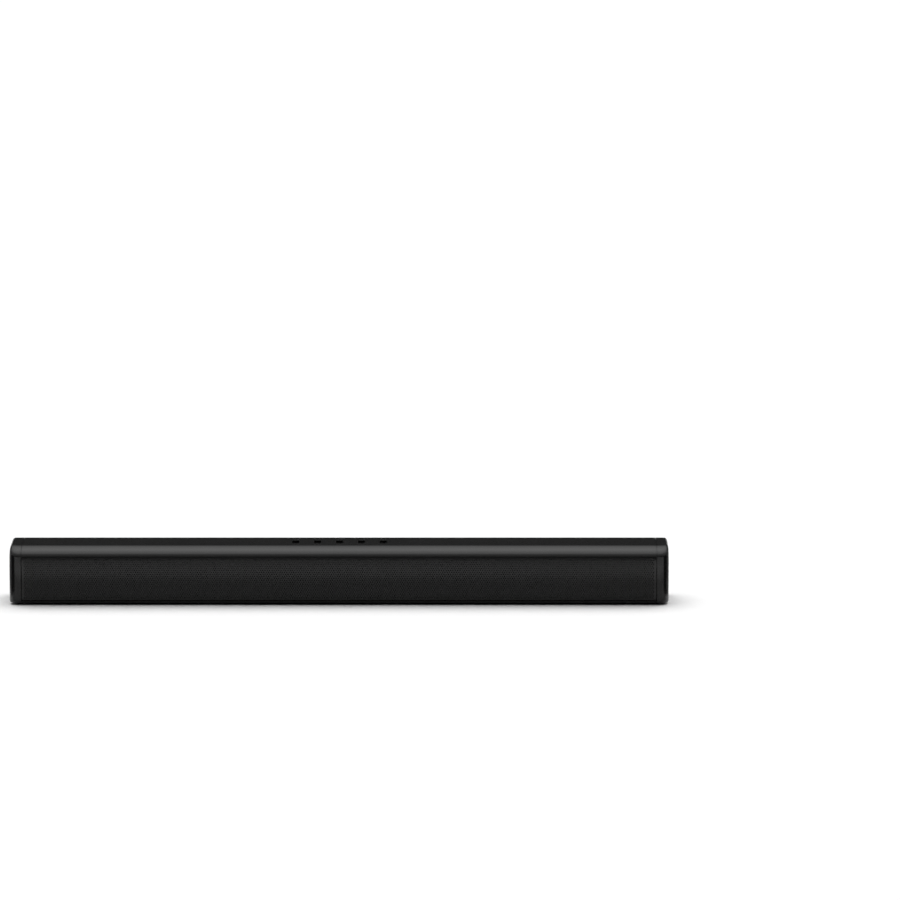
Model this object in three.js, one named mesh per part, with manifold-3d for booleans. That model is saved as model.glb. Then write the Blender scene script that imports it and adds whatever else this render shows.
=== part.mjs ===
// A 720 mm television soundbar: a perforated steel front grille between two end caps, a top cover with
// five push buttons, and a bottom case that holds two oval loudspeakers, the amplifier board and a rear
// bay of sockets. Millimetres, X to the right seen from the front, Y to the rear, Z up. The origin is on
// the shelf, under the middle of the bar. "left" and "right" are the listener's.
import * as THREE from "three";
import { mergeVertices } from "three/addons/utils/BufferGeometryUtils.js";
import Module from "manifold-3d";

const wasm = await Module();
wasm.setup();

// ---------------------------------------------------------------- driving dimensions
const LENGTH = 720;
const DEPTH = 87;
const HEIGHT = 63;
const WALL = 2.5;
const GAP = 0.3; // left between pieces that touch
const CASE_BOTTOM = 2.5; // the feet lift the case this far off the shelf
const CAP_WIDTH = 13;
const SEAM_Z = 53; // where the top cover meets the grille and the case
const ARC_STEPS = 6; // steps in a quarter turn of the outer shape

const FRONT_Y = -DEPTH / 2;
const REAR_Y = DEPTH / 2;
const BULGE_RADIUS = 320; // the front face is slightly barrelled
const BULGE_Z = 28;
const FRONT_SWEEP = 24; // how far back the long curve over the top front edge reaches
const FRONT_BOTTOM_RADIUS = 2;
const REAR_TOP_RADIUS = 6;
const REAR_BOTTOM_RADIUS = 4;
const CAP_FRONT_RADIUS = 11;
const CAP_REAR_RADIUS = 6;
const CAP_TOP_RADIUS = 3.5;
const CAP_BOTTOM_RADIUS = 2;

const SHELL_END = LENGTH / 2 - CAP_WIDTH - GAP / 2; // half length of the cover and the case
const INNER_END = SHELL_END - 4.3; // half length inside the end caps' collars
const CAVITY_TOP = HEIGHT - WALL;
const FLOOR_Z = CASE_BOTTOM + WALL;

const GRILLE_SHEET = 0.9;
const GRILLE_RETURN_Y = -37; // how far back the grille's folded edges reach
const SCRIM_OFFSET = 1.2; // acoustic cloth behind the grille's face
const SCRIM_THICKNESS = 0.4;

const BAFFLE_FRONT = -34;
const BAFFLE_THICKNESS = 3;
const BAFFLE_REAR = BAFFLE_FRONT + BAFFLE_THICKNESS;
const BAFFLE_TOP = 57.5;

const DRIVER_X = 200;
const DRIVER_Z = 28;
const DRIVER_STRAIGHT = 30; // half length of an oval driver's straight sides
const CHAMBER_WALL_X = 110;

const BUTTON_PITCH = 24;
const BUTTON_Y = 4;
const BUTTON_RADIUS = 4;
const BUTTON_RISE = 2.5; // how far a button stands above the flat top
const SWITCH_TOP = 57.1;
const BUTTON_NAMES = ["power", "source", "volume_down", "volume_up", "pairing"];

const BOARD_Z = 14; // underside of the main board
const BOARD_THICKNESS = 1.6;
const BOARD_HALF = 85;
const BOARD_FRONT = -26;
const BOARD_REAR = 21.9;
const BOARD_TOP = BOARD_Z + BOARD_THICKNESS;

const BAY_HALF = 80; // the rear socket bay
const BAY_LOW = 11;
const BAY_HIGH = 35;
const BAY_WALL = 2;
const PANEL_FRONT = 24;
const PANEL_THICKNESS = 1.5;
const SOCKET_FRONT = 12; // the sockets' inner ends
const SOCKET_MOUTH = 26;
const SOCKET_BASE = BOARD_TOP + GAP;

const CASE_SCREWS = [
  ["front_left", -325, -18],
  ["rear_left", -325, 28],
  ["mid_left", -125, 28],
  ["mid_right", 125, 28],
  ["front_right", 325, -18],
  ["rear_right", 325, 28],
];
const SCREW_SEAT_Z = 14;
const CASE_BOSS_TOP = 20;
const SCREW_HOLE_RADIUS = 1.75;

const FEET = [
  ["front_left", -290, -27],
  ["rear_left", -290, 28],
  ["front_right", 290, -27],
  ["rear_right", 290, 28],
];
const FOOT_RADIUS = 6;
const FOOT_STRAIGHT = 19;
const FOOT_RECESS = 0.7;

const INSERT_X = 250; // wall-bracket inserts
const INSERT_Z = 36;

// ---------------------------------------------------------------- solids
// A closed geometry as a manifold-3d solid, turned the right way out.
function solid(geometry) {
  const bare = geometry.clone();
  bare.deleteAttribute("normal");
  bare.deleteAttribute("uv");
  const merged = mergeVertices(bare, 1e-4);
  const corners = [];
  const index = merged.index.array;
  for (let i = 0; i < index.length; i += 3) {
    const [a, b, c] = [index[i], index[i + 1], index[i + 2]];
    if (a !== b && b !== c && c !== a) corners.push(a, b, c);
  }
  const make = (triangles) =>
    new wasm.Manifold(
      new wasm.Mesh({
        numProp: 3,
        vertProperties: new Float32Array(merged.attributes.position.array),
        triVerts: new Uint32Array(triangles),
      }),
    );
  const made = make(corners);
  return made.volume() < 0 ? make(corners.reverse()) : made;
}

function geometryOf(manifold) {
  const mesh = manifold.getMesh();
  const points = new Float32Array(mesh.numVert * 3);
  for (let i = 0; i < mesh.numVert; i++) {
    const start = i * mesh.numProp;
    points.set(mesh.vertProperties.subarray(start, start + 3), i * 3);
  }
  return new THREE.BufferGeometry()
    .setAttribute("position", new THREE.BufferAttribute(points, 3))
    .setIndex(new THREE.BufferAttribute(mesh.triVerts, 1));
}

const join = (...solids) => solids.flat().reduce((a, b) => a.add(b));
const cut = (from, ...tools) => from.subtract(join(...tools));

function block(x0, x1, y0, y1, z0, z1) {
  const box = new THREE.BoxGeometry(x1 - x0, y1 - y0, z1 - z0);
  return solid(box.translate((x0 + x1) / 2, (y0 + y1) / 2, (z0 + z1) / 2));
}

function rodZ(x, y, z0, z1, radius, sides = 16) {
  const rod = new THREE.CylinderGeometry(radius, radius, z1 - z0, sides);
  return solid(rod.rotateX(Math.PI / 2).translate(x, y, (z0 + z1) / 2));
}

function rodY(x, z, y0, y1, radius, sides = 16) {
  const rod = new THREE.CylinderGeometry(radius, radius, y1 - y0, sides);
  return solid(rod.translate(x, (y0 + y1) / 2, z));
}

// Extrusions of a shape drawn in (y, z), in (x, z) and in (x, y).
function alongX(shape, x0, x1) {
  const options = { depth: x1 - x0, bevelEnabled: false, curveSegments: ARC_STEPS };
  const turn = new THREE.Matrix4().makeBasis(
    new THREE.Vector3(0, 1, 0),
    new THREE.Vector3(0, 0, 1),
    new THREE.Vector3(1, 0, 0),
  );
  return solid(new THREE.ExtrudeGeometry(shape, options).applyMatrix4(turn).translate(x0, 0, 0));
}

function alongY(shape, y0, y1, curveSegments = ARC_STEPS) {
  const options = { depth: y1 - y0, bevelEnabled: false, curveSegments };
  return solid(new THREE.ExtrudeGeometry(shape, options).rotateX(Math.PI / 2).translate(0, y1, 0));
}

function alongZ(shape, z0, z1) {
  const options = { depth: z1 - z0, bevelEnabled: false, curveSegments: ARC_STEPS };
  return solid(new THREE.ExtrudeGeometry(shape, options).translate(0, 0, z0));
}

function polygon(...points) {
  return new THREE.Shape(points.map(([u, v]) => new THREE.Vector2(u, v)));
}

// A stadium: two half circles joined by straight sides that run along the first axis.
function stadium(u, v, straight, radius) {
  const shape = new THREE.Shape();
  shape.absarc(u + straight, v, radius, -Math.PI / 2, Math.PI / 2);
  shape.absarc(u - straight, v, radius, Math.PI / 2, (3 * Math.PI) / 2);
  return shape;
}

// Joins rings of points into one surface. Open stacks are capped by fans, closed ones meet themselves.
function stack(rings, closed) {
  const n = rings[0].length;
  const points = rings.flat();
  const faces = [];
  const last = closed ? rings.length : rings.length - 1;
  for (let i = 0; i < last; i++) {
    const next = ((i + 1) % rings.length) * n;
    for (let j = 0; j < n; j++) {
      const k = (j + 1) % n;
      faces.push(i * n + j, next + j, next + k, i * n + j, next + k, i * n + k);
    }
  }
  if (!closed) {
    for (const [start, flip] of [[0, false], [(rings.length - 1) * n, true]]) {
      const middle = points.length;
      const sum = new THREE.Vector3();
      for (let j = 0; j < n; j++) sum.add(points[start + j]);
      points.push(sum.divideScalar(n));
      for (let j = 0; j < n; j++) {
        const edge = [start + j, start + ((j + 1) % n)];
        faces.push(middle, ...(flip ? edge.reverse() : edge));
      }
    }
  }
  const geometry = new THREE.BufferGeometry().setFromPoints(points);
  geometry.setIndex(faces);
  return solid(geometry);
}

// A ring whose section is a closed loop of [straight, radius, y], carried round a stadium in (x, z).
function ovalRing(section, steps = 8) {
  const rings = section.map(([straight, radius, y]) => {
    const ring = [];
    for (const side of [1, -1]) {
      for (let i = 0; i <= steps; i++) {
        const angle = (i / steps - 0.5) * Math.PI + (side < 0 ? Math.PI : 0);
        const x = side * straight + radius * Math.cos(angle);
        ring.push(new THREE.Vector3(x, y, radius * Math.sin(angle)));
      }
    }
    return ring;
  });
  return stack(rings, true);
}

// A turned piece about the Y axis, from [radius, y] points.
function turned(points, sides = 24) {
  return solid(new THREE.LatheGeometry(points.map(([r, y]) => new THREE.Vector2(r, y)), sides));
}

const turnedRing = (points, sides) => turned([...points, points[0]], sides);

// ---------------------------------------------------------------- outer shape
const QUARTER = Math.PI / 2;
const bulge = (z) => FRONT_Y + BULGE_RADIUS - Math.sqrt(BULGE_RADIUS ** 2 - (z - BULGE_Z) ** 2);
const FRONT_CURVE_Y = bulge(SEAM_Z) + FRONT_SWEEP; // where the front curve runs into the flat top

const arcPoints = (y, z, radius, from, to, steps) =>
  Array.from({ length: steps + 1 }, (_, i) => {
    const angle = from + ((to - from) * i) / steps;
    return [y + radius * Math.cos(angle), z + radius * Math.sin(angle)];
  });

const bulgePoints = (zFrom, zTo, offset, steps = 6) =>
  Array.from({ length: steps + 1 }, (_, i) => {
    const z = zFrom + ((zTo - zFrom) * i) / steps;
    return [bulge(z) + offset, z];
  });

// The long quarter ellipse over the top front edge, from height zFrom on its front to the flat top.
function frontCurve(inset, zFrom = SEAM_Z, steps = 9) {
  const [across, up] = [FRONT_SWEEP - inset, HEIGHT - SEAM_Z - inset];
  const start = Math.asin((zFrom - SEAM_Z) / up);
  return Array.from({ length: steps + 1 }, (_, i) => {
    const angle = start + ((Math.PI / 2 - start) * i) / steps;
    return [FRONT_CURVE_Y - across * Math.cos(angle), SEAM_Z + up * Math.sin(angle)];
  });
}

// The whole outline in (y, z), drawn in by inset on every side.
function outline(inset = 0) {
  const [top, rear] = [HEIGHT - inset, REAR_Y - inset];
  const bottom = CASE_BOTTOM + inset;
  const low = Math.max(FRONT_BOTTOM_RADIUS - inset, 0.4);
  const rearLow = Math.max(REAR_BOTTOM_RADIUS - inset, 0.4);
  const rearHigh = Math.max(REAR_TOP_RADIUS - inset, 0.4);
  const lowY = bulge(CASE_BOTTOM + FRONT_BOTTOM_RADIUS) + inset + low;
  return [
    ...arcPoints(lowY, bottom + low, low, Math.PI, 1.5 * Math.PI, 3),
    ...arcPoints(rear - rearLow, bottom + rearLow, rearLow, -Math.PI / 2, 0, 3),
    ...arcPoints(rear - rearHigh, top - rearHigh, rearHigh, 0, Math.PI / 2, 4),
    ...frontCurve(inset).reverse(),
    ...bulgePoints(SEAM_Z - 6, CASE_BOTTOM + FRONT_BOTTOM_RADIUS + 5, inset, 4),
  ];
}

// ---------------------------------------------------------------- shells
function topCover() {
  const seam = SEAM_Z + GAP;
  const skin = (inset) => [
    ...frontCurve(inset, seam),
    ...arcPoints(REAR_Y - REAR_TOP_RADIUS, HEIGHT - REAR_TOP_RADIUS, REAR_TOP_RADIUS - inset, QUARTER, 0, 4),
    [REAR_Y - inset, seam],
  ];
  const shell = alongX(polygon(...skin(0), ...skin(WALL).reverse()), -SHELL_END, SHELL_END);
  const bosses = CASE_SCREWS.map(([, x, y]) =>
    rodZ(x, y, CASE_BOSS_TOP + GAP, CAVITY_TOP + 0.5, 3.5, 12),
  );
  const pilots = CASE_SCREWS.map(([, x, y]) =>
    rodZ(x, y, CASE_BOSS_TOP - 1, CASE_BOSS_TOP + 18, SCREW_HOLE_RADIUS, 12),
  );
  const posts = [-1, 1].map((side) => rodZ(side * 58, BUTTON_Y, 53.7, CAVITY_TOP + 0.5, 2, 12));
  const buttonHoles = BUTTON_NAMES.map((_, i) =>
    rodZ(buttonX(i), BUTTON_Y, CAVITY_TOP - 1, HEIGHT + 1, BUTTON_RADIUS + 0.25, 24),
  );
  return cut(join(shell, bosses, posts), pilots, buttonHoles);
}

// The pressed sheet with its four edges folded back.
function frontGrille() {
  const [low, high] = [FLOOR_Z + GAP, SEAM_Z - GAP];
  const dish = (inset, end, rear) =>
    alongX(
      polygon(
        [rear, low + inset],
        [bulge(low) + inset + 1, low + inset],
        ...bulgePoints(low + 1, high - 1, inset),
        [bulge(high) + inset + 1, high - inset],
        [rear, high - inset],
      ),
      -end,
      end,
    );
  const outer = dish(0, SHELL_END - GAP, GRILLE_RETURN_Y);
  return cut(outer, dish(GRILLE_SHEET, SHELL_END - GAP - GRILLE_SHEET, GRILLE_RETURN_Y + 1));
}

function grilleScrim() {
  const [low, high] = [FLOOR_Z + 1.8, SEAM_Z - 1.8];
  const front = bulgePoints(low, high, SCRIM_OFFSET);
  const rear = bulgePoints(low, high, SCRIM_OFFSET + SCRIM_THICKNESS);
  return alongX(polygon(...front, ...rear.reverse()), -SHELL_END + 2, SHELL_END - 2);
}

function bottomCase() {
  const seam = SEAM_Z;
  const lowY = bulge(CASE_BOTTOM + FRONT_BOTTOM_RADIUS) + FRONT_BOTTOM_RADIUS;
  const section = polygon(
    ...arcPoints(lowY, CASE_BOTTOM + FRONT_BOTTOM_RADIUS, FRONT_BOTTOM_RADIUS, Math.PI, 1.5 * Math.PI, 3),
    ...arcPoints(
      REAR_Y - REAR_BOTTOM_RADIUS, CASE_BOTTOM + REAR_BOTTOM_RADIUS, REAR_BOTTOM_RADIUS, -Math.PI / 2, 0, 4),
    [REAR_Y, seam],
    [REAR_Y - WALL, seam],
    [REAR_Y - WALL, FLOOR_Z + 0.8],
    [REAR_Y - WALL - 0.8, FLOOR_Z],
    [lowY - FRONT_BOTTOM_RADIUS, FLOOR_Z],
  );
  const shell = alongX(section, -SHELL_END, SHELL_END);
  const chamberWalls = [-1, 1].flatMap((side) => {
    const [x0, x1] = [side * CHAMBER_WALL_X - 1.25, side * CHAMBER_WALL_X + 1.25];
    const wall = alongX(polygon(...outline(WALL + GAP)), x0, x1);
    return [
      cut(wall, block(x0 - 1, x1 + 1, FRONT_Y - 1, BAFFLE_REAR + GAP, 0, HEIGHT)),
      block(x0, x1, BAFFLE_REAR + GAP, REAR_Y - 3, FLOOR_Z - 0.5, FLOOR_Z + 1),
      block(x0, x1, REAR_Y - 6, REAR_Y - 1, FLOOR_Z, SEAM_Z - 1),
    ];
  });
  const screwBosses = CASE_SCREWS.map(([, x, y]) => rodZ(x, y, CASE_BOTTOM + 0.5, CASE_BOSS_TOP, 5.2, 14));
  const standoffs = [-1, 1].flatMap((side) =>
    [BOARD_FRONT + 4, BOARD_REAR - 6].map((y) => rodZ(side * 78, y, FLOOR_Z - 0.5, BOARD_Z - GAP, 3, 12)),
  );
  const insertBosses = [-1, 1].map((side) => rodY(side * INSERT_X, INSERT_Z, 33, REAR_Y - 1, 6));

  const bayOpening = block(
    -BAY_HALF - BAY_WALL - GAP, BAY_HALF + BAY_WALL + GAP, REAR_Y - 7, REAR_Y + 1,
    BAY_LOW - BAY_WALL - GAP, BAY_HIGH + BAY_WALL + GAP);
  const counterbores = CASE_SCREWS.map(([, x, y]) => rodZ(x, y, 0, SCREW_SEAT_Z, 3.7, 14));
  const screwHoles = CASE_SCREWS.map(([, x, y]) => rodZ(x, y, 0, CASE_BOSS_TOP + 1, SCREW_HOLE_RADIUS, 12));
  const leadHoles = [-1, 1].map((side) =>
    block(side * CHAMBER_WALL_X - 3, side * CHAMBER_WALL_X + 3, -2, 2, 20.3, 24.3),
  );
  const insertHoles = [-1, 1].map((side) => rodY(side * INSERT_X, INSERT_Z, 34, REAR_Y + 1, 3.5));
  const footRecesses = FEET.map(([, x, y]) =>
    alongZ(stadium(x, y, FOOT_STRAIGHT, FOOT_RADIUS + GAP), CASE_BOTTOM - 1, CASE_BOTTOM + FOOT_RECESS),
  );
  const vents = Array.from({ length: 8 }, (_, i) => {
    const x = (i - 3.5) * 19;
    return [41, 45].map((z) => block(x - 7, x + 7, REAR_Y - WALL - 1, REAR_Y + 1, z, z + 1.8));
  });
  const labelRecess = block(-45, 45, -16, 16, CASE_BOTTOM - 1, CASE_BOTTOM + 0.4);
  return cut(
    join(shell, chamberWalls, screwBosses, standoffs, insertBosses),
    bayOpening,
    counterbores,
    screwHoles,
    leadHoles,
    insertHoles,
    footRecesses,
    vents.flat(),
    labelRecess,
  );
}

// The outer shape drawn in towards the end of the bar, with its own radius on each side.
function capRing(x) {
  const end = LENGTH / 2;
  const drawIn = (radius) => {
    const along = Math.max(0, x - (end - radius));
    return radius - Math.sqrt(Math.max(0, radius ** 2 - along ** 2));
  };
  const [front, rear] = [FRONT_Y + drawIn(CAP_FRONT_RADIUS), REAR_Y - drawIn(CAP_REAR_RADIUS)];
  const [bottom, top] = [CASE_BOTTOM + drawIn(CAP_BOTTOM_RADIUS), HEIGHT - drawIn(CAP_TOP_RADIUS)];
  return outline().map(([y, z]) => {
    const across = (y - FRONT_Y) / DEPTH;
    const up = (z - CASE_BOTTOM) / (HEIGHT - CASE_BOTTOM);
    return new THREE.Vector3(x, front + across * (rear - front), bottom + up * (top - bottom));
  });
}

function endCap(side) {
  const end = LENGTH / 2;
  const start = end - CAP_WIDTH + GAP / 2;
  const stations = [0, 0.25, 0.45, 0.62, 0.76, 0.87, 0.94, 0.985].map((t) => start + t * (end - start));
  const place = (x) => capRing(x).map((p) => p.setX(side * p.x));
  const outer = stack([...stations, end].map(place), false);
  const ends = (x0, x1) => [side * x0, side * x1].sort((a, b) => a - b);
  const hollow = alongX(polygon(...outline(WALL + 4)), ...ends(start - 6, end - 3.5));
  const collar = cut(
    alongX(polygon(...outline(WALL + GAP)), ...ends(start - 4, start + 1)),
    block(-end, end, FRONT_Y - 1, -36, 0, HEIGHT),
  );
  const lead = alongX(polygon(...outline(WALL + 2)), ...ends(start - 6, end - 8));
  return cut(join(outer, collar), hollow, lead);
}

function frontBaffle() {
  const plate = block(-INNER_END, INNER_END, BAFFLE_FRONT, BAFFLE_REAR, FLOOR_Z + GAP, BAFFLE_TOP);
  const openings = [-1, 1].map((side) =>
    alongY(stadium(side * DRIVER_X, DRIVER_Z, DRIVER_STRAIGHT, 17.5), BAFFLE_FRONT - 1, BAFFLE_REAR + 1, 8),
  );
  const lightWindow = block(-91.4, -38.6, BAFFLE_FRONT - 1, BAFFLE_REAR + 1, 38.6, 45.4);
  const infraredWindow = block(-32, -24, BAFFLE_FRONT - 1, BAFFLE_REAR + 1, 38.5, 45.5);
  return cut(plate, openings, lightWindow, infraredWindow);
}

// An open-backed box set into the case's rear wall. Its front wall has a window for each socket.
function socketBay() {
  const [low, high] = [BAY_LOW - BAY_WALL, BAY_HIGH + BAY_WALL];
  const box = block(-BAY_HALF - BAY_WALL, BAY_HALF + BAY_WALL, PANEL_FRONT, REAR_Y - 0.2, low, high);
  const hollow = block(-BAY_HALF, BAY_HALF, PANEL_FRONT + PANEL_THICKNESS, REAR_Y + 1, BAY_LOW, BAY_HIGH);
  const windows = Object.values(SOCKETS).map(({ x, width, height }) =>
    block(
      x - width / 2 - GAP, x + width / 2 + GAP, PANEL_FRONT - 1, PANEL_FRONT + 3,
      SOCKET_BASE - GAP, SOCKET_BASE + height + GAP),
  );
  return cut(box, hollow, windows);
}

// ---------------------------------------------------------------- sockets, mouths towards +Y
const SOCKETS = {
  optical: { x: -54, width: 13, height: 11 },
  usb: { x: -18, width: 14.4, height: 7.2 },
  hdmi: { x: 18, width: 15.4, height: 6.6 },
  dc: { x: 54, width: 10, height: 11.4 },
};

function socketBody({ x, width, height }) {
  return block(x - width / 2, x + width / 2, SOCKET_FRONT, SOCKET_MOUTH, SOCKET_BASE, SOCKET_BASE + height);
}

function hdmiSocket() {
  const { x, height } = SOCKETS.hdmi;
  const low = SOCKET_BASE + 1;
  const high = SOCKET_BASE + height - 1;
  const rightSide = [[5.6, low], [7, low + 1.6], [7, high]];
  const leftSide = rightSide.map(([across, z]) => [-across, z]).reverse();
  const mouthShape = polygon(...[...rightSide, ...leftSide].map(([across, z]) => [x + across, z]));
  const mouth = alongY(mouthShape, SOCKET_FRONT + 2, SOCKET_MOUTH + 1);
  const tongue = block(x - 5.5, x + 5.5, SOCKET_FRONT + 1, SOCKET_MOUTH - 1.2, low + 2.1, low + 3);
  return join(cut(socketBody(SOCKETS.hdmi), mouth), tongue);
}

function usbSocket() {
  const { x } = SOCKETS.usb;
  const low = SOCKET_BASE + 1;
  const mouth = block(x - 6.3, x + 6.3, SOCKET_FRONT + 2, SOCKET_MOUTH + 1, low, low + 5.2);
  const tongue = block(x - 5.5, x + 5.5, SOCKET_FRONT + 1, SOCKET_MOUTH - 1, low + 2.9, low + 4.7);
  return join(cut(socketBody(SOCKETS.usb), mouth), tongue);
}

function dcSocket() {
  const { x, height } = SOCKETS.dc;
  const z = SOCKET_BASE + height / 2;
  const mouth = rodY(x, z, SOCKET_FRONT + 2, SOCKET_MOUTH + 1, 3.15, 10);
  const pin = rodY(x, z, SOCKET_FRONT + 1, SOCKET_MOUTH - 1, 1, 6);
  return join(cut(socketBody(SOCKETS.dc), mouth), pin);
}

// The optical socket's hollow is high enough for its flap to lie under the roof when a plug pushes it in.
const SHUTTER_PIVOT = { y: 25, z: SOCKET_BASE + 9.1 };
const OPTICAL_LOW = SOCKET_BASE + 1;
const OPTICAL_HALF = 4.8;

function opticalSocket() {
  const { x } = SOCKETS.optical;
  const mouth = block(
    x - OPTICAL_HALF, x + OPTICAL_HALF, SOCKET_FRONT + 3, SOCKET_MOUTH + 1, OPTICAL_LOW, SOCKET_BASE + 10);
  return cut(socketBody(SOCKETS.optical), mouth);
}

function opticalShutter() {
  const { x } = SOCKETS.optical;
  const { y, z } = SHUTTER_PIVOT;
  const flap = block(x - OPTICAL_HALF + 0.3, x + OPTICAL_HALF - 0.3, y - 0.4, y + 0.4, OPTICAL_LOW + 0.3, z);
  const barrel = new THREE.CylinderGeometry(0.5, 0.5, 2 * OPTICAL_HALF - 0.6, 12);
  return join(flap, solid(barrel.rotateZ(Math.PI / 2).translate(x, y, z)));
}

// ---------------------------------------------------------------- boards
function buttonX(i) {
  return (i - (BUTTON_NAMES.length - 1) / 2) * BUTTON_PITCH;
}

function mainBoard() {
  const board = block(-BOARD_HALF, BOARD_HALF, BOARD_FRONT, BOARD_REAR, BOARD_Z, BOARD_TOP);
  const on = (x0, x1, y0, y1, height) => block(x0, x1, y0, y1, BOARD_TOP - 0.1, BOARD_TOP + height);
  const capacitors = [[-62, -18], [-50, -18], [-38, -18], [66, 2]].map(([x, y]) =>
    rodZ(x, y, BOARD_TOP - 0.1, BOARD_TOP + 15, 4.8, 14),
  );
  const inductors = [-34, 30].flatMap((x) => [-4, 6].map((y) => on(x - 4, x + 4, y - 4, y + 4, 5)));
  const amplifierChip = on(-7, 7, -13, 1, 1.4);
  const processorCan = on(-76, -48, -8, 8, 2.6);
  const leadHeaders = [-1, 1].map((side) => on(side * 80 - 3.8, side * 80 + 3.8, -3, 3, 5.2));
  const cableHeader = on(35, 47, -17, -12, 4);
  return join(board, capacitors, inductors, amplifierChip, processorCan, leadHeaders, cableHeader);
}

function heatSink() {
  const base = block(-24, 24, -19, 9, BOARD_TOP + 1.7, BOARD_TOP + 4);
  const fins = Array.from({ length: 7 }, (_, i) => {
    const y = -18.2 + i * 4.4;
    return block(-24, 24, y, y + 1.2, BOARD_TOP + 3.5, BOARD_TOP + 16);
  });
  return join(base, fins);
}

function wirelessModule() {
  const board = block(52, 82, -24, -8, 24, 25.2);
  const can = block(54, 70, -22, -10, 25.1, 27.4);
  const pins = block(74, 80, -22, -19, BOARD_TOP + GAP, 24.1);
  return join(board, can, pins);
}

function buttonBoard() {
  const board = block(-62, 62, BUTTON_Y - 12, BUTTON_Y + 12, 52, 53.4);
  const switches = BUTTON_NAMES.map((_, i) =>
    cut(
      block(buttonX(i) - 3, buttonX(i) + 3, BUTTON_Y - 3, BUTTON_Y + 3, 53.3, SWITCH_TOP),
      rodZ(buttonX(i), BUTTON_Y, SWITCH_TOP - 1.3, SWITCH_TOP + 1, 1.9, 12),
    ),
  );
  const header = block(35, 47, BUTTON_Y - 12, BUTTON_Y - 7, 49.5, 52.1);
  return join(board, switches, header);
}

function buttonCable() {
  const [top, end] = [50.9, BOARD_TOP + 4.3];
  const thickness = 0.4;
  const plug = BUTTON_Y - 12 - GAP;
  const front = [[plug, top], [-13, top], [-14.7, top - 1.7], [-14.7, end]];
  const rise = -14.7 + thickness;
  const back = [[rise, end], [rise, top - 1.9], [-12.8, top - thickness], [plug, top - thickness]];
  return alongX(polygon(...front, ...back), 36.4, 45.6);
}

function lightBoard() {
  const board = block(-96, -20, BAFFLE_REAR + 0.4, BAFFLE_REAR + 1.8, 34, 49);
  const lights = Array.from({ length: 5 }, (_, i) => {
    const x = -65 + (i - 2) * 10;
    return block(x - 1.6, x + 1.6, BAFFLE_REAR - 0.8, BAFFLE_REAR + 0.5, 41, 43);
  });
  const infraredReceiver = block(-31, -25, BAFFLE_REAR - 2.4, BAFFLE_REAR + 0.5, 39, 45);
  return join(board, lights, infraredReceiver);
}

const lightGuide = () => block(-91, -39, -41.2, BAFFLE_REAR - 1.2, 39, 45);

// ---------------------------------------------------------------- buttons and fasteners
// A button's own frame has its origin at the top cover's outer face.
function button() {
  const flange = -HEIGHT + CAVITY_TOP - 0.25;
  const profile = [
    [0, BUTTON_RISE], [BUTTON_RADIUS - 0.7, BUTTON_RISE], [BUTTON_RADIUS - 0.2, BUTTON_RISE - 0.2],
    [BUTTON_RADIUS, BUTTON_RISE - 0.7], [BUTTON_RADIUS, flange],
    [5.4, flange], [5.4, flange - 1], [1.4, flange - 1], [1.4, SWITCH_TOP - HEIGHT - 0.2],
    [0, SWITCH_TOP - HEIGHT - 0.2],
  ];
  return turned(profile, 16).rotate([90, 0, 0]);
}

// A pan-head screw pointing up, with its origin at the underside of its head's seat.
function caseScrew() {
  const profile = [[0, -2.5], [2.6, -2.5], [3.2, -1.8], [3.2, 0], [1.4, 0], [1.4, 17], [0, 18.4]];
  return turned(profile, 12).rotate([90, 0, 0]);
}

const foot = () =>
  join(
    alongZ(stadium(0, 0, FOOT_STRAIGHT, FOOT_RADIUS), 0.6, CASE_BOTTOM + FOOT_RECESS - 0.1),
    alongZ(stadium(0, 0, FOOT_STRAIGHT, FOOT_RADIUS - 0.6), 0, 0.7),
  );

const wallInsert = () =>
  turnedRing([[2.1, -7.5], [3.2, -7.5], [3.2, -0.2], [2.1, -0.2]], 12);

// ---------------------------------------------------------------- oval driver
// Its own frame has the origin in the middle of the baffle's front face, with +Y into the case.
const FLANGE_FRONT = -2.3;
const FLANGE_REAR = -1.1;
const BASKET_FLOOR = 16; // front face of the basket's back plate
const BASKET_BACK = 17.2;
const PLATE_FRONT = 17.5;
const MAGNET_FRONT = 20.6;
const YOKE_FRONT = 27.8;
const YOKE_REAR = 31;
const POLE_RADIUS = 7.6;
const COIL_INNER = 8;
const COIL_OUTER = 8.35;
const CONE_RIM = 12.6;
const CONE_RIM_Y = FLANGE_FRONT + 2.3; // the cone's rim lies this far behind the flange
const NEARLY_ROUND = 0.3; // half length of the straight sides where an oval has become round

function driverBasket() {
  const shell = ovalRing([
    [DRIVER_STRAIGHT, 21, FLANGE_FRONT],
    [DRIVER_STRAIGHT, 21, FLANGE_REAR],
    [DRIVER_STRAIGHT, 17, FLANGE_REAR],
    [24, 16.6, 9],
    [13, 16, BASKET_BACK],
    [NEARLY_ROUND, 9.6, BASKET_BACK],
    [NEARLY_ROUND, 9.6, BASKET_FLOOR],
    [12.4, 15, BASKET_FLOOR],
    [23, 15.7, 9],
    [DRIVER_STRAIGHT - 0.6, 16.1, FLANGE_FRONT],
  ]);
  const windows = [-1, 1].flatMap((side) => {
    const [x0, x1] = [side * 8, side * 25].sort((a, b) => a - b);
    return block(x0, x1, 2, 14.4, -25, 25);
  });
  const terminals = block(-5, 5, 12, 16, 15.4, 20);
  const screwHoles = [-1, 1].flatMap((sx) => [-1, 1].map((sz) => rodY(sx * 43.4, sz * 13.4, -4, 0, 1.5, 8)));
  return join(cut(shell, windows, screwHoles), terminals);
}

const driverGasket = () =>
  ovalRing([
    [DRIVER_STRAIGHT, 20.8, -0.95],
    [DRIVER_STRAIGHT, 20.8, -0.15],
    [DRIVER_STRAIGHT, 17.8, -0.15],
    [DRIVER_STRAIGHT, 17.8, -0.95],
  ]);

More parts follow.
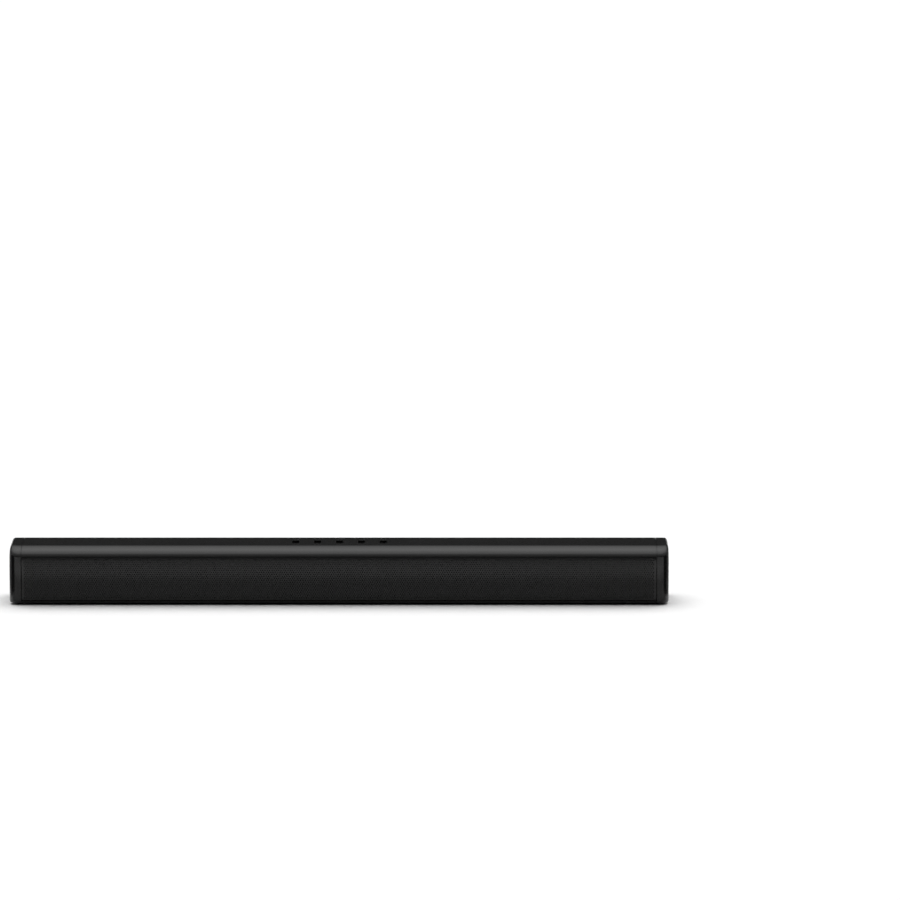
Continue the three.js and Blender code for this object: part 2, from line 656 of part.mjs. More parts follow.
const driverCone = () =>
  ovalRing([
    [DRIVER_STRAIGHT, CONE_RIM, CONE_RIM_Y],
    [17, 11, 6],
    [NEARLY_ROUND, 8.7, 12.4],
    [NEARLY_ROUND, 8.7, 13.2],
    [16.6, 10.6, 7.2],
    [DRIVER_STRAIGHT - 0.2, CONE_RIM - 0.4, CONE_RIM_Y + 0.9],
  ]);

// The rubber half roll from the basket's flange in to the cone's rim, which lies deeper.
function driverSurround() {
  const [middle, radius, base] = [(CONE_RIM + 16.6) / 2, 1.7, FLANGE_FRONT - GAP];
  const thickness = 0.4;
  const lip = CONE_RIM_Y - GAP;
  const outer = arcPoints(middle, base - thickness, radius + thickness, 0, -Math.PI, 5);
  const inner = arcPoints(middle, base - thickness, radius, -Math.PI, 0, 4);
  const section = [
    [20, base], [20, base - 0.5], ...outer,
    [CONE_RIM - 0.2, lip - thickness], [CONE_RIM - 1, lip - thickness], [CONE_RIM - 1, lip],
    [CONE_RIM + 0.2, lip], ...inner, [middle + radius, base],
  ];
  return ovalRing(section.map(([r, y]) => [DRIVER_STRAIGHT, r, y]));
}

// The corrugated cloth disc that centres the voice coil.
function driverSpider() {
  const folds = [[8.65, 13.6], [10, 14.4], [11.3, 14.1], [12.6, 15.2], [14.6, 15.4]];
  const thickness = 0.35;
  return turnedRing([...folds, ...folds.map(([r, y]) => [r, y + thickness]).reverse()], 24);
}

const voiceCoil = () =>
  turnedRing(
    [
      [COIL_INNER, 12.8], [COIL_OUTER, 12.8], [COIL_OUTER, 17.6], [COIL_OUTER + 0.2, 17.7],
      [COIL_OUTER + 0.2, 21.6], [COIL_INNER, 21.7],
    ],
    20,
  );

function dustCap() {
  const dome = (radius, apex, base) =>
    Array.from({ length: 5 }, (_, i) => {
      const angle = (i / 4) * (Math.PI / 2);
      return [radius * Math.sin(angle), base - (base - apex) * Math.cos(angle)];
    });
  return turned([...dome(8.5, 8.6, 12.3), ...dome(8, 9.2, 12.3).reverse()], 20);
}

function topPlate() {
  const rear = MAGNET_FRONT - 0.1;
  return turnedRing([[8.8, PLATE_FRONT], [14.8, PLATE_FRONT], [14.8, rear], [8.8, rear]], 24);
}

const magnet = () =>
  turnedRing(
    [
      [10.5, MAGNET_FRONT], [15.4, MAGNET_FRONT], [16, MAGNET_FRONT + 0.6], [16, YOKE_FRONT - 0.7],
      [15.4, YOKE_FRONT - 0.1], [10.5, YOKE_FRONT - 0.1],
    ],
    24,
  );

const yoke = () =>
  turned(
    [
      [0, PLATE_FRONT], [POLE_RADIUS - 0.6, PLATE_FRONT], [POLE_RADIUS, PLATE_FRONT + 0.6],
      [POLE_RADIUS, YOKE_FRONT], [14.6, YOKE_FRONT], [14.6, YOKE_REAR - 0.6], [14, YOKE_REAR], [0, YOKE_REAR],
    ],
    24,
  );

// ---------------------------------------------------------------- wires held inside the case
function speakerLead(side) {
  const points = [
    [84.6, 0, 19], [96, 0, 20.5], [110, 0, 22.3], [128, -4, 30],
    [156, -14, 42], [178, -19.6, 46.6], [194.4, -20, 46.6],
  ].map(([x, y, z]) => new THREE.Vector3(side * x, y, z));
  const section = new THREE.Shape().absarc(0, 0, 1.1, 0, 2 * Math.PI);
  const options = { steps: 20, curveSegments: 7, extrudePath: new THREE.CatmullRomCurve3(points) };
  return solid(new THREE.ExtrudeGeometry(section, options));
}

const ratingLabel = () => block(-44, 44, -15, 15, CASE_BOTTOM - 0.05, CASE_BOTTOM + 0.25);

// ---------------------------------------------------------------- materials
const finish = (color, roughness, metalness = 0) =>
  new THREE.MeshStandardMaterial({ color, roughness, metalness });
const satinBlack = finish(0x232324, 0.45);
const mattBlack = finish(0x1b1b1c, 0.7);
const grilleBlack = finish(0x1e1e1f, 0.5, 0.3);
const gloss = finish(0x0b0b0c, 0.2);
const rubber = finish(0x141414, 0.9);
const cloth = finish(0x101010, 0.95);
const board = finish(0x14532d, 0.5);
const steel = finish(0xb9bcc0, 0.35, 1);
const blackSteel = finish(0x1d1d1e, 0.4, 0.8);
const aluminium = finish(0xc9ccd0, 0.4, 1);
const brass = finish(0xb58f45, 0.35, 1);
const ferrite = finish(0x2b2b2d, 0.75, 0.2);
const paper = finish(0x202021, 0.9);
const coilCopper = finish(0xa8653a, 0.4, 0.8);
const spiderCloth = finish(0xc7a45b, 0.9);
const clear = finish(0xd8dde0, 0.15);
const wire = finish(0x8c1d1d, 0.6);
const ribbon = finish(0xdadada, 0.5);
const label = finish(0x8f9194, 0.6);

// ---------------------------------------------------------------- scene graph
const soundbar = new THREE.Group();

function add(name, piece, material, parent = soundbar) {
  const geometry = piece.isBufferGeometry ? piece : geometryOf(piece);
  const mesh = new THREE.Mesh(geometry, material);
  mesh.name = name;
  parent.add(mesh);
  return mesh;
}

add("top_cover", topCover(), satinBlack);
add("front_grille", frontGrille(), grilleBlack);
add("grille_scrim", grilleScrim(), cloth);
add("front_baffle", frontBaffle(), mattBlack);
add("bottom_case", bottomCase(), mattBlack);
add("end_cap_left", endCap(-1), satinBlack);
add("end_cap_right", endCap(1), satinBlack);
add("socket_bay", socketBay(), mattBlack);
add("optical_socket", opticalSocket(), mattBlack);
add("optical_shutter", opticalShutter(), mattBlack);
add("usb_socket", usbSocket(), steel);
add("hdmi_socket", hdmiSocket(), steel);
add("dc_power_socket", dcSocket(), mattBlack);
add("main_board", mainBoard(), board);
add("heat_sink", heatSink(), aluminium);
add("wireless_module", wirelessModule(), board);
add("button_board", buttonBoard(), board);
add("button_cable", buttonCable(), ribbon);
add("light_board", lightBoard(), board);
add("status_light_guide", lightGuide(), clear);
add("rating_label", ratingLabel(), label);

const buttonGeometry = geometryOf(button());
BUTTON_NAMES.forEach((name, i) => {
  add(`${name}_button`, buttonGeometry, gloss).position.set(buttonX(i), BUTTON_Y, HEIGHT);
});

const footGeometry = geometryOf(foot());
for (const [place, x, y] of FEET) add(`foot_${place}`, footGeometry, rubber).position.set(x, y, 0);

const screwGeometry = geometryOf(caseScrew());
for (const [place, x, y] of CASE_SCREWS) {
  add(`case_screw_${place}`, screwGeometry, blackSteel).position.set(x, y, SCREW_SEAT_Z - GAP);
}

const insertGeometry = geometryOf(wallInsert());
const driverParts = [
  ["basket", driverBasket(), blackSteel],
  ["gasket", driverGasket(), rubber],
  ["cone", driverCone(), paper],
  ["surround", driverSurround(), rubber],
  ["spider", driverSpider(), spiderCloth],
  ["voice_coil", voiceCoil(), coilCopper],
  ["dust_cap", dustCap(), paper],
  ["top_plate", topPlate(), steel],
  ["magnet", magnet(), ferrite],
  ["yoke", yoke(), steel],
].map(([name, piece, material]) => [name, geometryOf(piece), material]);

for (const [place, side] of [["left", -1], ["right", 1]]) {
  add(`wall_insert_${place}`, insertGeometry, brass).position.set(side * INSERT_X, REAR_Y, INSERT_Z);
  add(`speaker_lead_${place}`, speakerLead(side), wire);
  const driver = new THREE.Group();
  driver.position.set(side * DRIVER_X, BAFFLE_FRONT, DRIVER_Z);
  soundbar.add(driver);
  for (const [name, geometry, material] of driverParts) add(`${name}_${place}`, geometry, material, driver);
}

export default soundbar;
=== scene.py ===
# The looks of a 720 mm soundbar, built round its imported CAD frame. Metres, X to the right seen from the
# front, Y to the rear, Z up, with the origin on the shelf under the middle of the bar.
import math

import bmesh
import bpy
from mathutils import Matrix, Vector


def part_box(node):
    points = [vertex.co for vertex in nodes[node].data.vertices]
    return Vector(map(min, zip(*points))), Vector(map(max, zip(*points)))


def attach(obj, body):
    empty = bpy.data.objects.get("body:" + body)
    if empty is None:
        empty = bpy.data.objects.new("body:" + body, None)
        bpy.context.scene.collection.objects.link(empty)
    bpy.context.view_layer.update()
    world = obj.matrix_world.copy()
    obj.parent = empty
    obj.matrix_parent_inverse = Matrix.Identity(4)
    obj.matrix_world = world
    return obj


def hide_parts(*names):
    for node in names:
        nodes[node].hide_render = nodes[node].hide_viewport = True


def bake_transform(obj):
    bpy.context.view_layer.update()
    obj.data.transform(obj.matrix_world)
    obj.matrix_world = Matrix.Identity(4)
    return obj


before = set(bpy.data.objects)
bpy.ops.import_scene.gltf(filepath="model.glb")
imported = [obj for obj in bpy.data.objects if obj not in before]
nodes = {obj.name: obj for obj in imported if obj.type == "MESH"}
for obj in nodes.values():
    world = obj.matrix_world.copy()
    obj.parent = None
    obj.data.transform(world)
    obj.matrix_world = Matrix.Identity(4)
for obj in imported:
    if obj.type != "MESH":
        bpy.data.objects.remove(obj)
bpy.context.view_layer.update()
scene = bpy.context.scene

# ---------------------------------------------------------------- driving dimensions
MM = 0.001
LENGTH = 720 * MM
DEPTH = 87 * MM
HEIGHT = 63 * MM
WALL = 2.5 * MM
GAP = 0.3 * MM
CASE_BOTTOM = 2.5 * MM
CAP_WIDTH = 13 * MM
SEAM_Z = 53 * MM
FRONT_Y = -DEPTH / 2
REAR_Y = DEPTH / 2
BULGE_RADIUS = 320 * MM
BULGE_Z = 28 * MM
FRONT_SWEEP = 24 * MM
FRONT_BOTTOM_RADIUS = 2 * MM
REAR_TOP_RADIUS = 6 * MM
REAR_BOTTOM_RADIUS = 4 * MM
CAP_FRONT_RADIUS = 11 * MM
CAP_REAR_RADIUS = 6 * MM
CAP_TOP_RADIUS = 3.5 * MM
CAP_BOTTOM_RADIUS = 2 * MM
SHELL_END = LENGTH / 2 - CAP_WIDTH - GAP / 2
FLOOR_Z = CASE_BOTTOM + WALL
CAVITY_TOP = HEIGHT - WALL
COLLAR_FRONT = -36 * MM  # the end caps' collars stop short of the grille

GRILLE_SHEET = 0.9 * MM
GRILLE_RETURN_Y = -37 * MM
GRILLE_BORDER = 2 * MM  # plain metal round the perforations
HOLE_PITCH = 2.5 * MM
HOLE_SIZE = 0.85 * MM  # centre to corner
HOLE_CORNERS = 6
SCRIM_OFFSET = 1.2 * MM
SCRIM_THICKNESS = 0.4 * MM

BUTTON_RADIUS = 4 * MM
BUTTON_Y = 4 * MM
BUTTON_PITCH = 24 * MM
BUTTON_NAMES = ["power", "source", "volume_down", "volume_up", "pairing"]
BUTTON_RISE = 2.5 * MM  # above the flat top
BUTTON_GAP = 0.25 * MM
BUTTON_FACE = HEIGHT + BUTTON_RISE
SWITCH_TOP = 57.1 * MM  # the switches on the button board
MARK_WIDTH = 0.28 * MM  # of a printed line
MARK_DEPTH = 0.1 * MM
TURNED_TIP = 0.02 * MM  # the smallest ring of a piece that is turned to its axis

DRIVER_X = 200 * MM
DRIVER_Z = 28 * MM
DRIVER_STRAIGHT = 30 * MM
BAFFLE_FRONT = -34 * MM
PANEL_FACE = 25.5 * MM  # the socket panel's outer face
LABEL_Z = 14.6 * MM  # the lettering under the sockets

# The picture's middle lies to the right of the bar's and above it.
VIEW_AIM = Vector((0.1211, FRONT_Y, 0.1713))
VIEW_DISTANCE = 8.708
VIEW_ELEVATION = math.radians(7.75)
VIEW_LENS = 320
VIEW_SENSOR = 36

STUDIO_REACH = 40
BACKDROP_RADIUS = 0.6 * STUDIO_REACH
BACKDROP_LOW, BACKDROP_HIGH = -1, 15
SKY_STRENGTH = 1.45
SKY_TILT = math.radians(15)  # the brightest part of the sky lies this far behind the zenith
FLOOR_LIGHT = 1.85
FLOOR_LIGHT_TILT = math.radians(30)
FLOOR_LIGHT_ANGLE = math.radians(70)
END_CARD_GAP = 0.05  # from each end face
END_CARD_FRONT, END_CARD_REAR = -0.078, 0.4
END_CARD_TOP = 0.07
FRONT_CARD_DEPTH = 0.24
FRONT_CARD_HALF = 0.6


# ---------------------------------------------------------------- camera
def place_camera():
    back = Vector((0, -math.cos(VIEW_ELEVATION), math.sin(VIEW_ELEVATION)))
    data = bpy.data.cameras.new("camera")
    data.sensor_width = VIEW_SENSOR
    data.lens = VIEW_LENS
    data.clip_end = 200
    camera = bpy.data.objects.new("camera", data)
    camera.location = VIEW_AIM + VIEW_DISTANCE * back
    camera.rotation_euler = (math.pi / 2 - VIEW_ELEVATION, 0, 0)
    scene.collection.objects.link(camera)
    scene.camera = camera


# ---------------------------------------------------------------- shader nodes
def add_node(tree, kind, inputs=None, **settings):
    node = tree.nodes.new(kind)
    for key, value in settings.items():
        setattr(node, key, value)
    for key, value in (inputs or {}).items():
        if isinstance(value, bpy.types.NodeSocket):
            tree.links.new(value, node.inputs[key])
        else:
            node.inputs[key].default_value = value
    return node


def ramp(tree, factor, *stops):
    node = add_node(tree, "ShaderNodeValToRGB", {"Fac": factor})
    elements = node.color_ramp.elements
    while len(elements) < len(stops):
        elements.new(0.5)
    for element, (position, value) in zip(elements, stops):
        element.position = position
        element.color = (*value, 1) if isinstance(value, tuple) else (value, value, value, 1)
    return node.outputs["Color"]


def math_node(tree, operation, a, b=0.0):
    return add_node(tree, "ShaderNodeMath", {0: a, 1: b}, operation=operation).outputs[0]


def mix(tree, factor, a, b, blend="MIX"):
    node = add_node(tree, "ShaderNodeMix", {0: factor, 6: a, 7: b}, data_type="RGBA", blend_type=blend)
    return node.outputs[2]


def colour(value):
    return (value, value, value) if isinstance(value, (int, float)) else value


def shade(value, factor):
    return tuple(min(1.0, c * factor) for c in colour(value))


class Surface:
    """One material with its object coordinates, fine noise and broad noise ready to use."""

    def __init__(self, name, grain, stretch=(1, 1, 1)):
        self.material = bpy.data.materials.new(name)
        self.material.use_nodes = True
        self.tree = self.material.node_tree
        self.shader = self.tree.nodes["Principled BSDF"]
        texture = add_node(self.tree, "ShaderNodeTexCoord")
        scaled = add_node(
            self.tree, "ShaderNodeMapping", {"Vector": texture.outputs["Object"], "Scale": stretch})
        self.coordinates = scaled.outputs["Vector"]
        self.fine = self.noise(1 / grain, detail=3)
        self.broad = self.noise(45, detail=2)

    def noise(self, scale, detail=2.0, roughness=0.55):
        inputs = {"Vector": self.coordinates, "Scale": scale, "Detail": detail, "Roughness": roughness}
        return add_node(self.tree, "ShaderNodeTexNoise", inputs).outputs["Fac"]

    def wave(self, pitch, direction, distortion=0.0):
        # A wave texture's bands repeat every 2 pi / 20 units at scale 1.
        inputs = {"Vector": self.coordinates, "Scale": math.pi / 10 / pitch, "Distortion": distortion}
        node = add_node(self.tree, "ShaderNodeTexWave", inputs, bands_direction=direction)
        return node.outputs["Fac"]

    def height(self):
        return add_node(self.tree, "ShaderNodeSeparateXYZ", {0: self.coordinates}).outputs["Z"]

    def worn_edges(self, radius):
        bevel = add_node(self.tree, "ShaderNodeBevel", {"Radius": radius}, samples=4)
        normal = add_node(self.tree, "ShaderNodeNewGeometry").outputs["Normal"]
        dot = add_node(
            self.tree, "ShaderNodeVectorMath", {0: bevel.outputs[0], 1: normal}, operation="DOT_PRODUCT")
        edge = ramp(self.tree, dot.outputs["Value"], (0.86, 1.0), (0.985, 0.0))
        return math_node(self.tree, "MULTIPLY", edge, self.noise(400, detail=4))

    def paint(self, value, variation=0.15):
        stops = [(0.3, shade(value, 1 - variation)), (0.7, shade(value, 1 + variation))]
        return ramp(self.tree, self.broad, *stops)

    def bump(self, height, strength, distance):
        inputs = {"Height": height, "Strength": strength, "Distance": distance}
        node = add_node(self.tree, "ShaderNodeBump", inputs)
        self.tree.links.new(node.outputs[0], self.shader.inputs["Normal"])

    def rough(self, low, high, source=None):
        inputs = {"Value": source or self.fine, 1: 0.3, 2: 0.7, 3: low, 4: high}
        node = add_node(self.tree, "ShaderNodeMapRange", inputs)
        self.tree.links.new(node.outputs[0], self.shader.inputs["Roughness"])

    def base(self, socket):
        self.tree.links.new(socket, self.shader.inputs["Base Color"])

    def fixed(self, **values):
        for key, value in values.items():
            self.shader.inputs[key.replace("_", " ")].default_value = value


def moulded(name, value, rough, grain=0.35 * MM, relief=0.25, wear=0.012, specular=0.5):
    surface = Surface(name, grain)
    painted = surface.paint(value)
    if wear:
        painted = mix(surface.tree, surface.worn_edges(0.5 * MM), painted, (*colour(wear), 1))
    surface.base(painted)
    surface.rough(rough - 0.05, rough + 0.07)
    surface.bump(surface.fine, relief, 0.05 * MM)
    surface.fixed(Specular_IOR_Level=specular)
    return surface


def metal(name, value, rough, stretch=(1, 1, 1), grain=0.3 * MM, relief=0.15):
    surface = Surface(name, grain, stretch)
    bright = (*shade(value, 1.3), 1)
    surface.base(mix(surface.tree, surface.worn_edges(0.3 * MM), surface.paint(value, 0.1), bright))
    surface.rough(rough - 0.08, rough + 0.1)
    surface.bump(surface.fine, relief, 0.03 * MM)
    surface.fixed(Metallic=1.0)
    return surface


def woven(name, value, pitch, across="Z", relief=0.8):
    surface = Surface(name, pitch / 3)
    warp = surface.wave(pitch, "X")
    weft = surface.wave(pitch, across)
    threads = math_node(surface.tree, "MAXIMUM", warp, weft)
    body = ramp(surface.tree, threads, (0.1, shade(value, 0.35)), (0.9, shade(value, 1.2)))
    surface.base(mix(surface.tree, 0.25, body, surface.paint(value, 0.4)))
    surface.rough(0.85, 0.98)
    surface.bump(threads, relief, pitch * 0.25)
    surface.fixed(Sheen_Weight=0.15, Sheen_Roughness=0.6)
    return surface


def circuit_board(name, board_top):
    """Green mask with copper traces under it, and darker parts above the board's surface."""
    surface = Surface(name, 0.4 * MM)
    tree = surface.tree
    traces = add_node(
        tree, "ShaderNodeTexBrick",
        {"Vector": surface.coordinates, "Scale": 150, "Mortar Size": 0.012, "Brick Width": 0.9,
         "Color1": (0.012, 0.075, 0.03, 1), "Color2": (0.01, 0.06, 0.024, 1),
         "Mortar": (0.03, 0.14, 0.05, 1)})
    above = math_node(tree, "GREATER_THAN", surface.height(), board_top + 0.15 * MM)
    parts = ramp(tree, surface.noise(260), (0.4, 0.02), (0.55, 0.05), (0.72, 0.3))
    surface.base(mix(tree, above, traces.outputs["Color"], parts))
    surface.rough(0.3, 0.5)
    surface.bump(traces.outputs["Fac"], 0.3, 0.03 * MM)
    return surface


def wound_coil():
    surface = Surface("coil_copper", 0.2 * MM)
    turns = surface.wave(0.22 * MM, "Y")
    surface.base(ramp(surface.tree, turns, (0.1, (0.12, 0.045, 0.02)), (0.8, (0.62, 0.27, 0.12))))
    surface.rough(0.25, 0.4)
    surface.bump(turns, 0.7, 0.05 * MM)
    surface.fixed(Metallic=0.9)
    return surface


def striped_wire():
    surface = Surface("lead_insulation", 0.5 * MM)
    strands = surface.wave(3.2 * MM, "DIAGONAL")
    surface.base(ramp(surface.tree, strands, (0.47, (0.008, 0.008, 0.008)), (0.53, (0.24, 0.012, 0.01))))
    surface.rough(0.4, 0.55)
    surface.bump(strands, 0.8, 0.3 * MM)
    return surface


def flat_cable():
    surface = Surface("flat_cable", 0.6 * MM)
    conductors = surface.wave(0.5 * MM, "X")
    surface.base(ramp(surface.tree, conductors, (0.3, (0.42, 0.4, 0.34)), (0.7, (0.72, 0.71, 0.68))))
    surface.rough(0.35, 0.5)
    surface.bump(conductors, 0.4, 0.05 * MM)
    return surface


def printed_label():
    """Plain silver film with a fine printed grid and no lettering."""
    surface = Surface("label_film", 0.8 * MM)
    grid = add_node(
        surface.tree, "ShaderNodeTexBrick",
        {"Vector": surface.coordinates, "Scale": 55, "Mortar Size": 0.008, "Mortar": (0.05, 0.05, 0.05, 1),
         "Color1": (0.3, 0.305, 0.31, 1), "Color2": (0.27, 0.275, 0.28, 1)}, offset=0.0)
    surface.base(grid.outputs["Color"])
    surface.rough(0.3, 0.45)
    surface.bump(surface.fine, 0.1, 0.02 * MM)
    surface.fixed(Metallic=0.6)
    return surface


def clear_plastic():
    surface = Surface("clear_plastic", 0.5 * MM)
    surface.base(surface.paint((0.75, 0.78, 0.8), 0.04))
    surface.rough(0.12, 0.25)
    surface.bump(surface.fine, 0.1, 0.02 * MM)
    surface.fixed(Transmission_Weight=0.75, IOR=1.58)
    return surface


def pressed_paper():
    surface = Surface("cone_paper", 0.5 * MM)
    fibres = surface.noise(1800, detail=6, roughness=0.75)
    surface.base(ramp(surface.tree, fibres, (0.35, 0.008), (0.75, 0.035)))
    surface.rough(0.8, 0.95)
    surface.bump(fibres, 0.6, 0.1 * MM)
    return surface


def pale_floor():
    surface = Surface("floor_paper", 6 * MM)
    surface.base(surface.paint(0.9, 0.004))
    surface.rough(0.9, 1.0)
    surface.fixed(Specular_IOR_Level=0.0)
    return surface


def graded_card(name, start, end, *stops):
    """A matt card whose grey changes along Y from start to end."""
    surface = Surface(name, 4 * MM)
    depth = add_node(surface.tree, "ShaderNodeSeparateXYZ", {0: surface.coordinates}).outputs["Y"]
    along = add_node(surface.tree, "ShaderNodeMapRange", {"Value": depth, 1: start, 2: end}).outputs[0]
    surface.base(ramp(surface.tree, along, *stops))
    surface.rough(0.9, 1.0)
    surface.fixed(Specular_IOR_Level=0.0)
    return surface


def white_paper():
    """Shines evenly, so that the studio behind the bar is white whatever the view."""
    surface = Surface("backdrop_paper", 6 * MM)
    surface.base(surface.paint(0.9, 0.004))
    surface.rough(0.9, 1.0)
    surface.fixed(Emission_Color=(1, 1, 1, 1), Emission_Strength=1.0)
    return surface


satin_black = moulded("satin_black", 0.005, 0.2, relief=0.03)
case_black = moulded("case_black", 0.005, 0.5, grain=0.6 * MM, relief=0.5, specular=0.3)
bay_black = moulded("bay_black", 0.01, 0.6, grain=0.5 * MM, relief=0.4)
powder_black = moulded("powder_black", 0.004, 0.2, grain=0.25 * MM, relief=0.05, wear=0.0)
button_black = moulded("button_black", 0.0015, 0.28, grain=1.2 * MM, relief=0.03, wear=0.0, specular=0.1)
rubber_black = moulded("rubber_black", 0.012, 0.85, grain=0.5 * MM, relief=0.7, wear=0.03, specular=0.3)
roll_rubber = moulded("roll_rubber", 0.008, 0.6, grain=0.8 * MM, relief=0.15, wear=0.0, specular=0.4)
print_grey = moulded("print_grey", 0.32, 0.6, relief=0.1, wear=0.0)
print_dim = moulded("print_dim", 0.012, 0.6, relief=0.1, wear=0.0, specular=0.1)
socket_black = moulded("socket_black", 0.006, 0.35, relief=0.15, wear=0.02)
ferrite = moulded("ferrite", 0.03, 0.7, grain=0.3 * MM, relief=0.6, wear=0.08)
plated_steel = metal("plated_steel", (0.56, 0.57, 0.58), 0.3, stretch=(1, 8, 1))
black_steel = metal("black_steel", (0.035, 0.035, 0.037), 0.42)
bare_aluminium = metal("bare_aluminium", (0.78, 0.79, 0.8), 0.36, stretch=(0.15, 1, 1))
brass = metal("brass", (0.72, 0.5, 0.2), 0.32, grain=0.6 * MM, relief=0.8)
acoustic_cloth = woven("acoustic_cloth", 0.012, 0.7 * MM)
spider_cloth = woven("spider_cloth", (0.5, 0.33, 0.11), 0.8 * MM)
cone_paper = pressed_paper()
main_board_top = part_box("heat_sink")[0][2] - 1.7 * MM
board_green = circuit_board("main_board_green", main_board_top)
key_board_green = circuit_board("button_board_green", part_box("button_board")[0][2] + 3.9 * MM)


# ---------------------------------------------------------------- meshes
def mesh_object(name, vertices, faces, body="cabinet", stand_for=(), surface=None, slot=None):
    mesh = bpy.data.meshes.new(name)
    mesh.from_pydata([tuple(v) for v in vertices], [], faces)
    obj = bpy.data.objects.new(name, mesh)
    scene.collection.objects.link(obj)
    if surface:
        mesh.materials.append(surface.material)
    if body:
        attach(obj, body)
    if stand_for:
        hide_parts(*stand_for)
    return obj


def tidy(obj, sharp_degrees=30, weld=1e-6):
    """Welds, turns the faces outwards, and marks smooth faces with sharp edges by angle."""
    made = bmesh.new()
    made.from_mesh(obj.data)
    bmesh.ops.remove_doubles(made, verts=made.verts, dist=weld)
    bmesh.ops.dissolve_degenerate(made, edges=made.edges, dist=weld)
    bmesh.ops.recalc_face_normals(made, faces=made.faces)
    limit = math.radians(sharp_degrees)
    for face in made.faces:
        face.smooth = True
    for edge in made.edges:
        edge.smooth = len(edge.link_faces) == 2 and edge.calc_face_angle(0) < limit
    made.to_mesh(obj.data)
    made.free()


def soften(obj, width, segments=2, degrees=32):
    bevel = obj.modifiers.new("soft_edges", "BEVEL")
    bevel.width = width
    bevel.segments = segments
    bevel.limit_method = "ANGLE"
    bevel.angle_limit = math.radians(degrees)
    bevel.harden_normals = True
    bevel.use_clamp_overlap = True
    normals = obj.modifiers.new("flat_faces_lead", "WEIGHTED_NORMAL")
    normals.keep_sharp = True


def apply_modifiers(obj):
    bpy.context.view_layer.update()
    evaluated = obj.evaluated_get(bpy.context.evaluated_depsgraph_get())
    mesh = bpy.data.meshes.new_from_object(evaluated)
    obj.modifiers.clear()
    obj.data = mesh


def carve(obj, *tools):
    """Cuts the tools out of obj and removes them."""
    for tool in tools:
        cut = obj.modifiers.new("cut", "BOOLEAN")
        cut.object = tool
        cut.operation = "DIFFERENCE"
        cut.solver = "EXACT"
    apply_modifiers(obj)
    for tool in tools:
        bpy.data.objects.remove(tool)


def rings_mesh(rings, closed=False):
    """Faces between equal rings of points. Closed rings meet end to end; open ones are capped."""
    count = len(rings[0])
    vertices = [p for ring in rings for p in ring]
    faces = []
    spans = len(rings) if closed else len(rings) - 1
    for i in range(spans):
        a, b = i * count, ((i + 1) % len(rings)) * count
        for j in range(count):
            k = (j + 1) % count
            faces.append((a + j, a + k, b + k, b + j))
    if not closed:
        faces.append(tuple(range(count)))
        faces.append(tuple(range(len(vertices) - 1, len(vertices) - 1 - count, -1)))
    return vertices, faces


def turned(points, centre, sides=48, axis="Z"):
    """Rings of a turned piece from (radius, height) points, about an axis through centre."""
    rings = []
    for radius, height in points:
        ring = []
        for i in range(sides):
            angle = 2 * math.pi * i / sides
            u, v = radius * math.cos(angle), radius * math.sin(angle)
            place = (u, v, height) if axis == "Z" else (u, height, v)
            ring.append(Vector(centre) + Vector(place))
        rings.append(ring)
    return rings


def stadium_ring(x, z, straight, radius, steps):
    """A stadium with its straight sides along X, as (x, z) points."""
    points = []
    for side in (1, -1):
        for i in range(steps + 1):
            angle = (i / steps - 0.5) * math.pi + (math.pi if side < 0 else 0)
            points.append((x + side * straight + radius * math.cos(angle), z + radius * math.sin(angle)))
    return points


# ---------------------------------------------------------------- outer shape
def bulge(z):
    return FRONT_Y + BULGE_RADIUS - math.sqrt(BULGE_RADIUS**2 - (z - BULGE_Z) ** 2)


def arc(y, z, radius, start, end, steps):
    angles = [math.radians(start + (end - start) * i / steps) for i in range(steps + 1)]
    return [(y + radius * math.cos(a), z + radius * math.sin(a)) for a in angles]


def front_curve(inset, z_from=SEAM_Z, steps=30):
    across, up = FRONT_SWEEP - inset, HEIGHT - SEAM_Z - inset
    start = math.asin((z_from - SEAM_Z) / up)
    curve_y = bulge(SEAM_Z) + FRONT_SWEEP
    angles = [start + (math.pi / 2 - start) * i / steps for i in range(steps + 1)]
    return [(curve_y - across * math.cos(a), SEAM_Z + up * math.sin(a)) for a in angles]


def front_face(z_from, z_to, offset, steps):
    heights = [z_from + (z_to - z_from) * i / steps for i in range(steps + 1)]
    return [(bulge(z) + offset, z) for z in heights]


def outline(inset=0.0, front_limit=None):
    """The bar's whole outline in (y, z), drawn in by inset on every side."""
    bottom = CASE_BOTTOM + inset
    low = max(FRONT_BOTTOM_RADIUS - inset, 0.4 * MM)
    rear_low = max(REAR_BOTTOM_RADIUS - inset, 0.4 * MM)
    rear_high = max(REAR_TOP_RADIUS - inset, 0.4 * MM)
    low_y = bulge(CASE_BOTTOM + FRONT_BOTTOM_RADIUS) + inset + low
    points = [
        *arc(low_y, bottom + low, low, 180, 270, 6),
        *arc(REAR_Y - inset - rear_low, bottom + rear_low, rear_low, -90, 0, 8),
        *arc(REAR_Y - inset - rear_high, HEIGHT - inset - rear_high, rear_high, 0, 90, 10),
        *reversed(front_curve(inset)),
        *front_face(SEAM_Z - 2 * MM, CASE_BOTTOM + FRONT_BOTTOM_RADIUS + 3 * MM, inset, 10),
    ]
    if front_limit is not None:
        points = [(max(y, front_limit), z) for y, z in points]
    return points


# ---------------------------------------------------------------- cover, end caps, grille
def button_x(i):
    return (i - (len(BUTTON_NAMES) - 1) / 2) * BUTTON_PITCH


